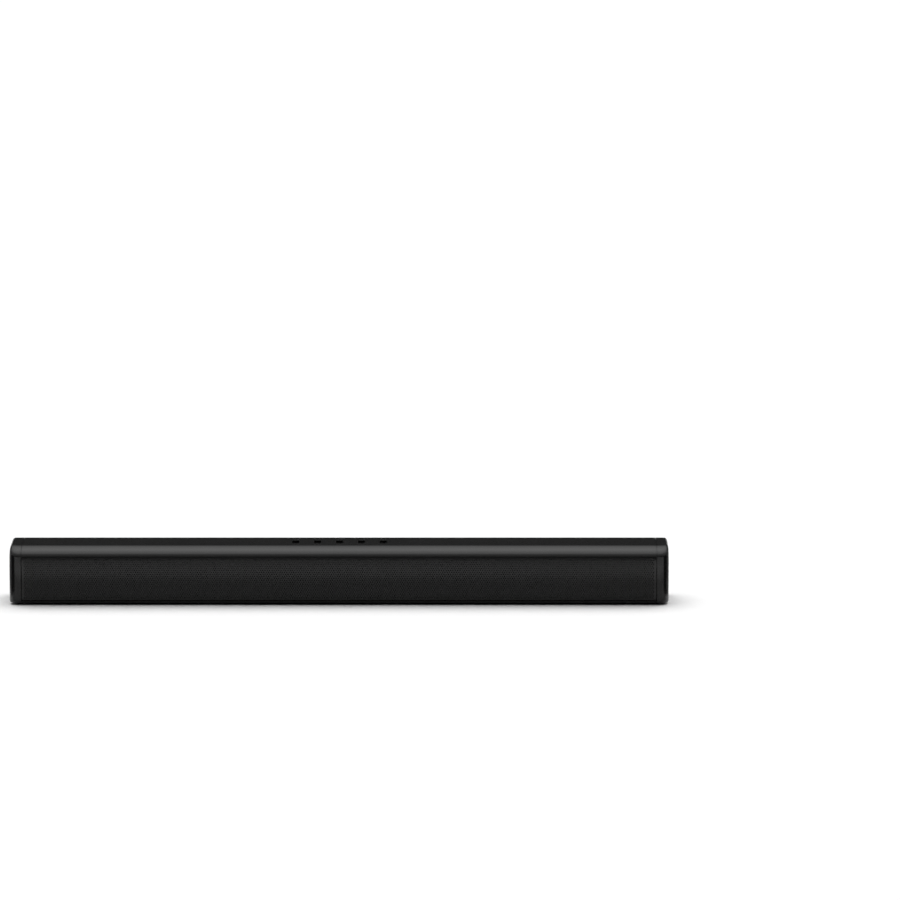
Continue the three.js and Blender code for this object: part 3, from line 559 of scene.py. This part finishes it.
def make_cover():
    """An inverted U of two matching skins, cut for the buttons."""
    seam = SEAM_Z + GAP

    def skin(inset):
        rear = arc(REAR_Y - REAR_TOP_RADIUS, HEIGHT - REAR_TOP_RADIUS, REAR_TOP_RADIUS - inset, 90, 0, 10)
        return [*front_curve(inset, seam), *rear, (REAR_Y - inset, seam)]

    outer, inner = skin(0), skin(WALL)
    half_cell = BUTTON_PITCH / 2
    cells = [button_x(0) - half_cell + i * BUTTON_PITCH for i in range(len(BUTTON_NAMES) + 1)]
    stations = [-SHELL_END, *cells, SHELL_END]
    count = len(outer)
    vertices = [(x, y, z) for x in stations for y, z in [*outer, *inner]]
    faces = []
    for s in range(len(stations) - 1):
        a, b = s * 2 * count, (s + 1) * 2 * count
        for i in range(count - 1):
            faces.append((a + i, b + i, b + i + 1, a + i + 1))
            faces.append((a + count + i + 1, b + count + i + 1, b + count + i, a + count + i))
        faces.append((a, a + count, b + count, b))
        faces.append((a + count - 1, b + count - 1, b + 2 * count - 1, a + 2 * count - 1))
    for start in (0, (len(stations) - 1) * 2 * count):
        for i in range(count - 1):
            faces.append((start + i, start + i + 1, start + count + i + 1, start + count + i))
    cover = mesh_object("cover_shell", vertices, faces, None, surface=satin_black)
    tidy(cover)
    holes = []
    for i in range(len(BUTTON_NAMES)):
        rim = BUTTON_RADIUS + BUTTON_GAP
        drill = [(rim, CAVITY_TOP - MM), (rim, HEIGHT + MM)]
        holes.append(mesh_object("drill", *rings_mesh(turned(drill, (button_x(i), BUTTON_Y, 0), 64)), None))
        tidy(holes[-1])
    carve(cover, *holes)
    tidy(cover)
    soften(cover, 0.3 * MM, 3)
    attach(cover, "cabinet")
    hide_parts("top_cover")


def make_screw_bosses():
    """Tubes under the cover that take the case screws, a little wider at their roots."""
    bore, tip, root = 1.75 * MM, 3.5 * MM, 3.8 * MM
    low_end, high_end = 20.3 * MM, CAVITY_TOP + 0.4 * MM
    wall = [(bore, low_end), (tip, low_end), (root, high_end), (bore, high_end)]
    vertices, faces = [], []
    for name in ("front_left", "rear_left", "mid_left", "mid_right", "front_right", "rear_right"):
        low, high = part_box(f"case_screw_{name}")
        x, y = (low[0] + high[0]) / 2, (low[1] + high[1]) / 2
        points, quads = rings_mesh(turned(wall, (x, y, 0), 24), closed=True)
        faces += [tuple(len(vertices) + i for i in quad) for quad in quads]
        vertices += points
    bosses = mesh_object("cover_screw_bosses", vertices, faces, surface=satin_black, slot="cover_satin")
    tidy(bosses)


def cap_ring(x, inset=0.0):
    """The outline at a distance x along the bar, drawn in by its own radius on each side."""
    end = LENGTH / 2

    def drawn_in(radius):
        along = min(max(0.0, x - (end - radius)), radius)
        return radius - math.sqrt(max(0.0, radius**2 - along**2))

    front, rear = FRONT_Y + drawn_in(CAP_FRONT_RADIUS), REAR_Y - drawn_in(CAP_REAR_RADIUS)
    bottom, top = CASE_BOTTOM + drawn_in(CAP_BOTTOM_RADIUS), HEIGHT - drawn_in(CAP_TOP_RADIUS)
    ring = []
    for y, z in outline(inset):
        across, up = (y - FRONT_Y) / DEPTH, (z - CASE_BOTTOM) / (HEIGHT - CASE_BOTTOM)
        ring.append((x, front + across * (rear - front), bottom + up * (top - bottom)))
    return ring


def make_end_cap(side, name):
    """One closed skin: outside to the end face, round the collar, and along the hollow."""
    end = LENGTH / 2
    start = end - CAP_WIDTH + GAP / 2
    turn = [math.radians(90 * i / 14) for i in range(15)]
    stations = sorted({end - CAP_FRONT_RADIUS * (1 - math.sin(a)) for a in turn}
                      | {end - CAP_TOP_RADIUS * (1 - math.sin(a)) for a in turn[::2]})
    stations = [s for i, s in enumerate(stations) if i == 0 or s - stations[i - 1] > 0.04 * MM]
    outside = [cap_ring(x) for x in [start, *stations]]

    def inner(inset, x, limit=None):
        return [(x, y, z) for y, z in outline(inset, limit)]

    collar, hollow = WALL + GAP, WALL + 2.2 * MM
    collar_reach, end_wall = 4 * MM, 4 * MM
    hollow_front = COLLAR_FRONT + 1.5 * MM
    rings = [
        inner(hollow, end - end_wall, hollow_front),
        inner(hollow, start - collar_reach, hollow_front),
        inner(collar, start - collar_reach, COLLAR_FRONT),
        inner(collar, start, COLLAR_FRONT),
        *outside,
    ]
    vertices, faces = rings_mesh([[(side * x, y, z) for x, y, z in ring] for ring in rings])
    cap = mesh_object(
        f"{name}_shell", vertices, faces, stand_for=(name,), surface=satin_black, slot="cover_satin")
    tidy(cap, 50, weld=2e-5)
    soften(cap, 0.25 * MM, 2, 50)


def grille_holes():
    """Centres of the staggered holes, as rows of (x, z)."""
    width = 2 * (SHELL_END - GAP - GRILLE_BORDER)
    height = SEAM_Z - FLOOR_Z - 2 * GAP - 2 * GRILLE_BORDER
    row_pitch = HOLE_PITCH * math.sqrt(3) / 2
    rows, columns = int(height / row_pitch), int(width / HOLE_PITCH - 0.5)
    left = -(columns - 0.5) * HOLE_PITCH / 2
    low = (SEAM_Z + FLOOR_Z) / 2 - (rows - 1) * row_pitch / 2
    return [
        [(left + (c + 0.5 * (r % 2)) * HOLE_PITCH, low + r * row_pitch) for c in range(columns)]
        for r in range(rows)
    ]


def frame_loop(inset, depth, along=60, up=16):
    """A closed loop round the grille's edge that follows its barrelled face."""
    x, low, high = SHELL_END - GAP - inset, FLOOR_Z + GAP + inset, SEAM_Z - GAP - inset
    corners = [(-x, low), (x, low), (x, high), (-x, high)]
    loop = []
    for i, steps in enumerate((along, up, along, up)):
        (x0, z0), (x1, z1) = corners[i], corners[(i + 1) % 4]
        loop += [(x0 + (x1 - x0) * k / steps, z0 + (z1 - z0) * k / steps) for k in range(steps)]
    return [(px, bulge(pz) + depth, pz) for px, pz in loop]


def perforated_layer(made, holes, inset, depth):
    """One face of the sheet: the strips and corners between its holes, and its plain border."""
    turns = [math.radians(30 + 60 * i) for i in range(HOLE_CORNERS)]
    ring = [(HOLE_SIZE * math.cos(a), HOLE_SIZE * math.sin(a)) for a in turns]
    grid = [
        [[made.verts.new((x + u, bulge(z + v) + depth, z + v)) for u, v in ring] for x, z in row]
        for row in holes
    ]
    columns = len(holes[0])
    hole_edges = {
        made.edges.new((hole[i], hole[(i + 1) % HOLE_CORNERS]))
        for row in grid for hole in row for i in range(HOLE_CORNERS)
    }
    for r, row in enumerate(grid):
        above = grid[r + 1] if r + 1 < len(grid) else None
        for c, hole in enumerate(row):
            right = row[c + 1] if c + 1 < columns else None
            up_right = above[c + r % 2] if above and c + r % 2 < columns else None
            up_left = above[c + r % 2 - 1] if above and c + r % 2 > 0 else None
            if right:
                made.faces.new((hole[5], right[3], right[2], hole[0]))
            if up_right:
                made.faces.new((hole[1], hole[0], up_right[4], up_right[3]))
            if up_left:
                made.faces.new((hole[2], hole[1], up_left[5], up_left[4]))
            if right and up_right:
                made.faces.new((hole[0], right[2], up_right[4]))
            if up_left and up_right:
                made.faces.new((hole[1], up_right[3], up_left[5]))
    open_edges = {
        edge
        for row in grid for hole in row for vertex in hole for edge in vertex.link_edges
        if len(edge.link_faces) < (1 if edge in hole_edges else 2)
    }
    loop = [made.verts.new(point) for point in frame_loop(inset, depth)]
    border = [made.edges.new((a, b)) for a, b in zip(loop, loop[1:] + loop[:1])]
    bmesh.ops.triangle_fill(made, use_beauty=True, edges=[*open_edges, *border], normal=(0, -1, 0))
    return grid, loop


def make_grille():
    """A perforated sheet that follows the barrelled front, with its four edges folded back."""
    holes = grille_holes()
    fold = 0.8 * MM
    made = bmesh.new()
    front, front_loop = perforated_layer(made, holes, fold, 0.0)
    back, back_loop = perforated_layer(made, holes, GRILLE_SHEET, GRILLE_SHEET)
    for front_row, back_row in zip(front, back):
        for a, b in zip(front_row, back_row):
            for i in range(HOLE_CORNERS):
                k = (i + 1) % HOLE_CORNERS
                made.faces.new((a[i], a[k], b[k], b[i]))
    bend_steps = 4
    turns = [math.radians(90 * i / bend_steps) for i in range(1, bend_steps + 1)]
    bends = [frame_loop(fold * (1 - math.sin(a)), fold * (1 - math.cos(a))) for a in turns]
    returns = [
        [(x, GRILLE_RETURN_Y, z) for x, _, z in frame_loop(inset, 0)] for inset in (0, GRILLE_SHEET)
    ]
    folded = [[made.verts.new(point) for point in points] for points in [*bends, *returns]]
    loops = [front_loop, *folded, back_loop]
    for a, b in zip(loops, loops[1:]):
        for i in range(len(a)):
            k = (i + 1) % len(a)
            made.faces.new((a[i], a[k], b[k], b[i]))
    mesh = bpy.data.meshes.new("grille_sheet")
    made.to_mesh(mesh)
    made.free()
    mesh.materials.append(powder_black.material)
    grille = bpy.data.objects.new("grille_sheet", mesh)
    scene.collection.objects.link(grille)
    tidy(grille, 30, weld=1e-7)
    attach(grille, "cabinet")
    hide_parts("front_grille")


def make_scrim():
    """The cloth behind the grille, stretched flat along the bar and curved with its face."""
    border = 1.8 * MM
    half, low, high = SHELL_END - 2 * MM, FLOOR_Z + border, SEAM_Z - border
    columns, rows = 120, 16
    profile = front_face(low, high, SCRIM_OFFSET + SCRIM_THICKNESS / 2, rows)
    vertices = [(-half + 2 * half * c / columns, y, z) for y, z in profile for c in range(columns + 1)]
    faces = []
    for r in range(rows):
        for c in range(columns):
            a = r * (columns + 1) + c
            faces.append((a, a + 1, a + columns + 2, a + columns + 1))
    scrim = mesh_object(
        "scrim_cloth", vertices, faces, stand_for=("grille_scrim",), surface=acoustic_cloth, slot="scrim")
    tidy(scrim)
    solid = scrim.modifiers.new("cloth", "SOLIDIFY")
    solid.thickness = SCRIM_THICKNESS
    solid.offset = 0


# ---------------------------------------------------------------- buttons and their marks
def make_button(i, name):
    """A shallow-dished push button with its flange and plunger."""
    top, rim, bend = BUTTON_FACE, BUTTON_RADIUS, 0.2 * MM
    flange, flange_edge = CAVITY_TOP - BUTTON_GAP, BUTTON_RADIUS + 1.4 * MM
    flange_foot, stem = flange - MM, 1.4 * MM
    face = [
        (TURNED_TIP, top - 0.07 * MM), (1.5 * MM, top - 0.06 * MM), (2.6 * MM, top - 0.025 * MM),
        (rim - 0.9 * MM, top), (rim - 0.6 * MM, top - 0.02 * MM), (rim - 0.3 * MM, top - 0.15 * MM),
        (rim - 0.1 * MM, top - 0.4 * MM), (rim, top - 0.75 * MM),
    ]
    base = [
        (rim, flange + bend), (rim + bend, flange), (flange_edge - bend, flange),
        (flange_edge, flange - bend), (flange_edge, flange_foot + bend),
        (flange_edge - bend, flange_foot), (stem, flange_foot), (stem, SWITCH_TOP),
        (stem - 0.3 * MM, SWITCH_TOP - bend), (TURNED_TIP, SWITCH_TOP - bend),
    ]
    rings = turned([*face, *base], (button_x(i), BUTTON_Y, 0), 64)
    button = mesh_object(
        f"{name}_key_top", *rings_mesh(rings), f"{name}_key", (f"{name}_button",),
        button_black, "button_gloss")
    tidy(button, 40, weld=1e-7)


def ribbon(points, width, height, closed=False):
    """A flat printed line of even width along (x, y) points, lifted by height."""
    points = [Vector(p) for p in points]
    vertices, faces = [], []
    count = len(points)
    for i, point in enumerate(points):
        before = points[i - 1] if i or closed else point
        after = points[(i + 1) % count] if i + 1 < count or closed else point
        along = (after - before).normalized()
        side = Vector((-along.y, along.x)) * width / 2
        for offset, z in ((side, 0.0), (side, height), (-side, height), (-side, 0.0)):
            vertices.append((*(point + offset), z))
    spans = count if closed else count - 1
    for i in range(spans):
        a, b = 4 * i, 4 * ((i + 1) % count)
        for j in range(4):
            k = (j + 1) % 4
            faces.append((a + j, b + j, b + k, a + k))
    if not closed:
        faces += [(0, 1, 2, 3), (4 * count - 1, 4 * count - 2, 4 * count - 3, 4 * count - 4)]
    return vertices, faces


def circle_part(radius, start, end, steps=20, centre=(0, 0)):
    angles = [math.radians(start + (end - start) * i / steps) for i in range(steps + 1)]
    return [(centre[0] + radius * math.cos(a), centre[1] + radius * math.sin(a)) for a in angles]


# Each mark's lines in millimetres from the middle of its button, and whether a line is closed.
MARKS = {
    "power": [(circle_part(1.25, -235, 55), False), ([(0, 0.3), (0, 1.6)], False)],
    "source": [
        ([(0.3, 1.2), (-1.4, 1.2), (-1.4, -1.2), (0.3, -1.2)], False),
        ([(-0.5, 0), (1.5, 0)], False),
        ([(0.8, 0.7), (1.5, 0), (0.8, -0.7)], False),
    ],
    "volume_down": [([(-1.3, 0), (1.3, 0)], False)],
    "volume_up": [([(-1.3, 0), (1.3, 0)], False), ([(0, -1.3), (0, 1.3)], False)],
    "pairing": [
        (circle_part(0.25, 0, 330, 11), True),
        (circle_part(0.95, -50, 50), False), (circle_part(0.95, 130, 230), False),
        (circle_part(1.6, -50, 50), False), (circle_part(1.6, 130, 230), False),
    ],
}


def make_mark(i, name):
    """The button's generic mark, printed as fine raised lines on its face."""
    vertices, faces = [], []
    for line, closed in MARKS[name]:
        points, quads = ribbon(line, MARK_WIDTH / MM, MARK_DEPTH / MM, closed)
        faces += [tuple(len(vertices) + q for q in quad) for quad in quads]
        vertices += points
    base = BUTTON_FACE - 0.08 * MM
    placed = [(button_x(i) + x * MM, BUTTON_Y + y * MM, base + z * MM) for x, y, z in vertices]
    mark = mesh_object(
        f"{name}_mark", placed, faces, f"{name}_key", surface=print_dim, slot="button_gloss")
    tidy(mark)


# ---------------------------------------------------------------- feet
def make_foot(name):
    low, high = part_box(name)
    x, y = (low[0] + high[0]) / 2, (low[1] + high[1]) / 2
    radius = (high[1] - low[1]) / 2
    straight = (high[0] - low[0]) / 2 - radius
    # The sole, a step above it, and the straight side, as insets and heights in millimetres.
    levels = [(1.4, 0), (0.9, 0.12), (0.65, 0.5), (0.6, 0.9), (0.15, 1.0), (0, 1.15)]
    levels += [(0, 2.9), (0.2, 3.1)]
    rings = [
        [(px, py, z * MM) for px, py in stadium_ring(x, y, straight, radius - inset * MM, 16)]
        for inset, z in levels
    ]
    foot = mesh_object(f"{name}_pad", *rings_mesh(rings), "cabinet", (name,), rubber_black, "rubber")
    tidy(foot, 40)
    soften(foot, 0.12 * MM, 2, 40)


# ---------------------------------------------------------------- soft parts of the loudspeakers
def oval_rings(section, x, steps=28):
    """Rings round a loudspeaker from (radius, depth) points in millimetres."""
    outlines = [(stadium_ring(x, DRIVER_Z, DRIVER_STRAIGHT, r * MM, steps), y) for r, y in section]
    return [[(px, BAFFLE_FRONT + y * MM, pz) for px, pz in outline] for outline, y in outlines]


def make_surround(side, name):
    """The half roll: its outer lip on the basket's flange, its inner lip deeper, on the cone's rim."""
    middle, roll, flange, lip, thickness = 14.6, 1.7, -2.6, -0.3, 0.4
    rim, neck, neck_depth, inner_rim = 20, 12.5, -1.6, 11.6

    def half_round(radius, start, end, steps):
        angles = [math.radians(start + (end - start) * i / steps) for i in range(steps + 1)]
        return [(middle + radius * math.cos(a), flange - thickness + radius * math.sin(a)) for a in angles]

    section = [
        (rim, flange), (rim, flange - 0.5), *half_round(roll + thickness, 0, -180, 14),
        (neck, neck_depth), (neck - 0.1, lip - thickness), (inner_rim, lip - thickness),
        (inner_rim, lip), (neck + 0.3, lip), (neck + thickness, neck_depth),
        *half_round(roll, -180, 0, 12), (middle + roll, flange),
    ]
    x = side * DRIVER_X
    surround = mesh_object(
        f"{name}_roll", *rings_mesh(oval_rings(section, x), closed=True), None, (), roll_rubber, "rubber")
    tidy(surround, 40)
    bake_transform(surround)
    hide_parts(name)


def make_spider(side, name):
    """The corrugated cloth disc between the basket and the voice coil."""
    thickness = 0.3
    # Radius and depth of the corrugations in millimetres, from the voice coil to the basket.
    knots = [(8.65, 13.6), (9.3, 14.1), (10, 14.4), (10.7, 14.3), (11.3, 14.1)]
    knots += [(12, 14.6), (12.6, 15.1), (13.3, 15.3), (14.6, 15.4)]
    sheet_of = [*knots, *[(r, y + thickness) for r, y in reversed(knots)]]
    x = side * DRIVER_X
    points = [(r * MM, BAFFLE_FRONT + y * MM) for r, y in sheet_of]
    spider = mesh_object(
        f"{name}_cloth", *rings_mesh(turned(points, (x, 0, DRIVER_Z), 56, "Y"), closed=True),
        None, (), spider_cloth, "spider_cloth")
    tidy(spider, 60)
    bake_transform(spider)
    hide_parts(name)


# ---------------------------------------------------------------- finishes on the CAD pieces
def smoothing_group():
    """Smooth shading with sharp edges above an angle, for pieces whose mesh must not change."""
    group = bpy.data.node_groups.new("smooth_by_angle", "GeometryNodeTree")
    group.interface.new_socket("Geometry", in_out="INPUT", socket_type="NodeSocketGeometry")
    group.interface.new_socket("Geometry", in_out="OUTPUT", socket_type="NodeSocketGeometry")
    start, end = group.nodes.new("NodeGroupInput"), group.nodes.new("NodeGroupOutput")
    angle = group.nodes.new("GeometryNodeInputMeshEdgeAngle")
    gentle = add_node(
        group, "FunctionNodeCompare", {0: angle.outputs["Unsigned Angle"], 1: math.radians(32)},
        data_type="FLOAT", operation="LESS_THAN")
    merged = add_node(
        group, "GeometryNodeMergeByDistance", {"Geometry": start.outputs[0], "Distance": 2e-6})
    smooth_node = "GeometryNodeSetShadeSmooth"
    faces = add_node(
        group, smooth_node, {"Geometry": merged.outputs[0], "Shade Smooth": True}, domain="FACE")
    edges = add_node(
        group, smooth_node, {"Geometry": faces.outputs[0], "Shade Smooth": gentle.outputs[0]},
        domain="EDGE")
    group.links.new(edges.outputs[0], end.inputs[0])
    return group


def finish_node(name, surface, edge=0.0):
    obj = nodes[name]
    obj.data.materials.clear()
    obj.data.materials.append(surface.material)
    if edge:
        bevel = obj.modifiers.new("soft_edges", "BEVEL")
        bevel.width = edge
        bevel.segments = 2
        bevel.limit_method = "ANGLE"
        bevel.angle_limit = math.radians(40)


def finish_cad_pieces():
    def both(*names):
        return [f"{name}_{side}" for name in names for side in ("left", "right")]

    screws = [name for name in nodes if name.startswith("case_screw_")]
    groups = [
        (case_black, ["bottom_case"], 0.2 * MM),
        (bay_black, ["socket_bay"], 0.2 * MM),
        (case_black, ["front_baffle"], 0.2 * MM),
        (socket_black, ["optical_socket", "optical_shutter", "dc_power_socket"], 0.12 * MM),
        (plated_steel, ["usb_socket", "hdmi_socket"], 0.1 * MM),
        (board_green, ["main_board", "wireless_module", "light_board"], 0.0),
        (key_board_green, ["button_board"], 0.0),
        (bare_aluminium, ["heat_sink"], 0.1 * MM),
        (flat_cable(), ["button_cable"], 0.0),
        (clear_plastic(), ["status_light_guide"], 0.2 * MM),
        (printed_label(), ["rating_label"], 0.0),
        (black_steel, [*screws, *both("basket")], 0.1 * MM),
        (brass, both("wall_insert"), 0.1 * MM),
        (striped_wire(), both("speaker_lead"), 0.0),
        (rubber_black, both("gasket"), 0.1 * MM),
        (cone_paper, both("cone", "dust_cap"), 0.0),
        (wound_coil(), both("voice_coil"), 0.0),
        (plated_steel, both("top_plate", "yoke"), 0.15 * MM),
        (ferrite, both("magnet"), 0.2 * MM),
    ]
    smooth = smoothing_group()
    for surface, names, edge in groups:
        for name in names:
            modifier = nodes[name].modifiers.new("smooth_by_angle", "NODES")
            modifier.node_group = smooth
            finish_node(name, surface, edge)


# ---------------------------------------------------------------- socket labels
def make_label(name, text, x, z, size=2.6 * MM):
    """Raised lettering on the socket panel, read from behind the bar."""
    data = bpy.data.curves.new(name, "FONT")
    data.body = text
    data.size = size
    data.extrude = 0.06 * MM
    data.align_x, data.align_y = "CENTER", "CENTER"
    data.materials.append(print_grey.material)
    label = bpy.data.objects.new(name, data)
    label.location = (x, PANEL_FACE + 0.04 * MM, z)
    label.rotation_euler = (math.pi / 2, 0, math.pi)
    scene.collection.objects.link(label)
    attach(label, "cabinet")


# ---------------------------------------------------------------- studio
def stage_piece(name, vertices, faces, surface, seen_by_camera, reflected):
    """Part of the studio, not of the bar, seen by the camera, in reflections, or both."""
    piece = mesh_object(name, vertices, faces, None, surface=surface)
    if not (seen_by_camera and reflected):
        piece.visible_camera = seen_by_camera
        piece.visible_glossy = reflected
        piece.visible_diffuse = False
        piece.visible_shadow = False
        piece.visible_transmission = False


def make_studio():
    quad = [(0, 1, 2, 3)]
    reach = STUDIO_REACH
    corners = [(-reach, -reach, 0), (reach, -reach, 0), (reach, reach, 0), (-reach, reach, 0)]
    stage_piece("floor", corners, quad, pale_floor(), True, True)
    sides = 96
    wall = [(BACKDROP_RADIUS, BACKDROP_LOW), (BACKDROP_RADIUS, BACKDROP_HIGH)]
    rings = turned(wall, (0, 0, 0), sides)
    walls = rings_mesh(rings)[1][:sides]
    stage_piece("backdrop", [p for ring in rings for p in ring], walls, white_paper(), True, False)

    # Cards that only show as reflections and paint shade into them: dark end bands, and a darker lower half
    # of the front.
    # Painted dark reflections: each end card is black at the front and grey behind, and is seen only
    # mirrored in the end caps.
    end_card = graded_card("end_card", -0.08, 0.0, (0.56, 0.002), (0.75, 0.5))
    for side, name in ((-1, "left"), (1, "right")):
        x = side * (LENGTH / 2 + END_CARD_GAP)
        floor_line = [(x, END_CARD_FRONT, 0), (x, END_CARD_REAR, 0)]
        corners = [*floor_line, (x, END_CARD_REAR, END_CARD_TOP), (x, END_CARD_FRONT, END_CARD_TOP)]
        stage_piece(f"end_card_{name}", corners, quad, end_card, False, True)
    # Painted shade: this card stands in for the floor's shadow just in front of the bar, seen only mirrored
    # in the grille, and is black right at the bar's foot.
    half, near, far = FRONT_CARD_HALF, FRONT_Y - MM, FRONT_Y - FRONT_CARD_DEPTH
    corners = [(-half, far, MM), (half, far, MM), (half, near, MM), (-half, near, MM)]
    floor_shade_card = graded_card(
        "floor_shade_card", far, near, (0.0, 0.3), (0.6, 0.36), (0.9, 0.5), (0.985, 0.4), (1.0, 0.002))
    stage_piece("floor_shade_card", corners, quad, floor_shade_card, False, True)


def light_studio():
    """A soft overhead sky, dark near the horizon, and a soft sun for the floor, kept out of reflections."""
    world = bpy.data.worlds.new("studio")
    scene.world = world
    world.use_nodes = True
    tree = world.node_tree
    direction = add_node(tree, "ShaderNodeTexCoord").outputs["Generated"]
    up = add_node(tree, "ShaderNodeSeparateXYZ", {0: direction}).outputs["Z"]
    axis = (0, math.sin(SKY_TILT), math.cos(SKY_TILT))
    toward = add_node(tree, "ShaderNodeVectorMath", {0: direction, 1: axis}, operation="DOT_PRODUCT")
    above = ramp(tree, up, (0.2, 0.004), (0.46, 1.0))
    glow = ramp(
        tree, toward.outputs["Value"],
        (0.3, 0.28), (0.68, 0.3), (0.8, 0.5), (0.95, 0.97), (1.0, 1.0))
    background = tree.nodes["Background"]
    tree.links.new(mix(tree, 1.0, above, glow, "MULTIPLY"), background.inputs["Color"])
    background.inputs["Strength"].default_value = SKY_STRENGTH

    data = bpy.data.lights.new("floor_light", "SUN")
    data.energy = FLOOR_LIGHT
    data.angle = FLOOR_LIGHT_ANGLE
    light = bpy.data.objects.new("floor_light", data)
    light.rotation_euler = (-FLOOR_LIGHT_TILT, 0, 0)
    light.visible_glossy = False
    scene.collection.objects.link(light)


# ---------------------------------------------------------------- build
place_camera()
make_cover()
make_screw_bosses()
make_end_cap(-1, "end_cap_left")
make_end_cap(1, "end_cap_right")
make_grille()
make_scrim()
for index, key in enumerate(BUTTON_NAMES):
    make_button(index, key)
    make_mark(index, key)
for foot_name in [name for name in nodes if name.startswith("foot_")]:
    make_foot(foot_name)
for direction, place in ((-1, "left"), (1, "right")):
    make_surround(direction, f"surround_{place}")
    make_spider(direction, f"spider_{place}")
finish_cad_pieces()
for node_name, words in (
    ("optical_socket", "OPTICAL"), ("usb_socket", "USB"),
    ("hdmi_socket", "TV"), ("dc_power_socket", "DC IN"),
):
    box_low, box_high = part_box(node_name)
    make_label(f"{node_name}_label", words, (box_low[0] + box_high[0]) / 2, LABEL_Z)
make_studio()
light_studio()
scene.view_settings.view_transform = "Standard"
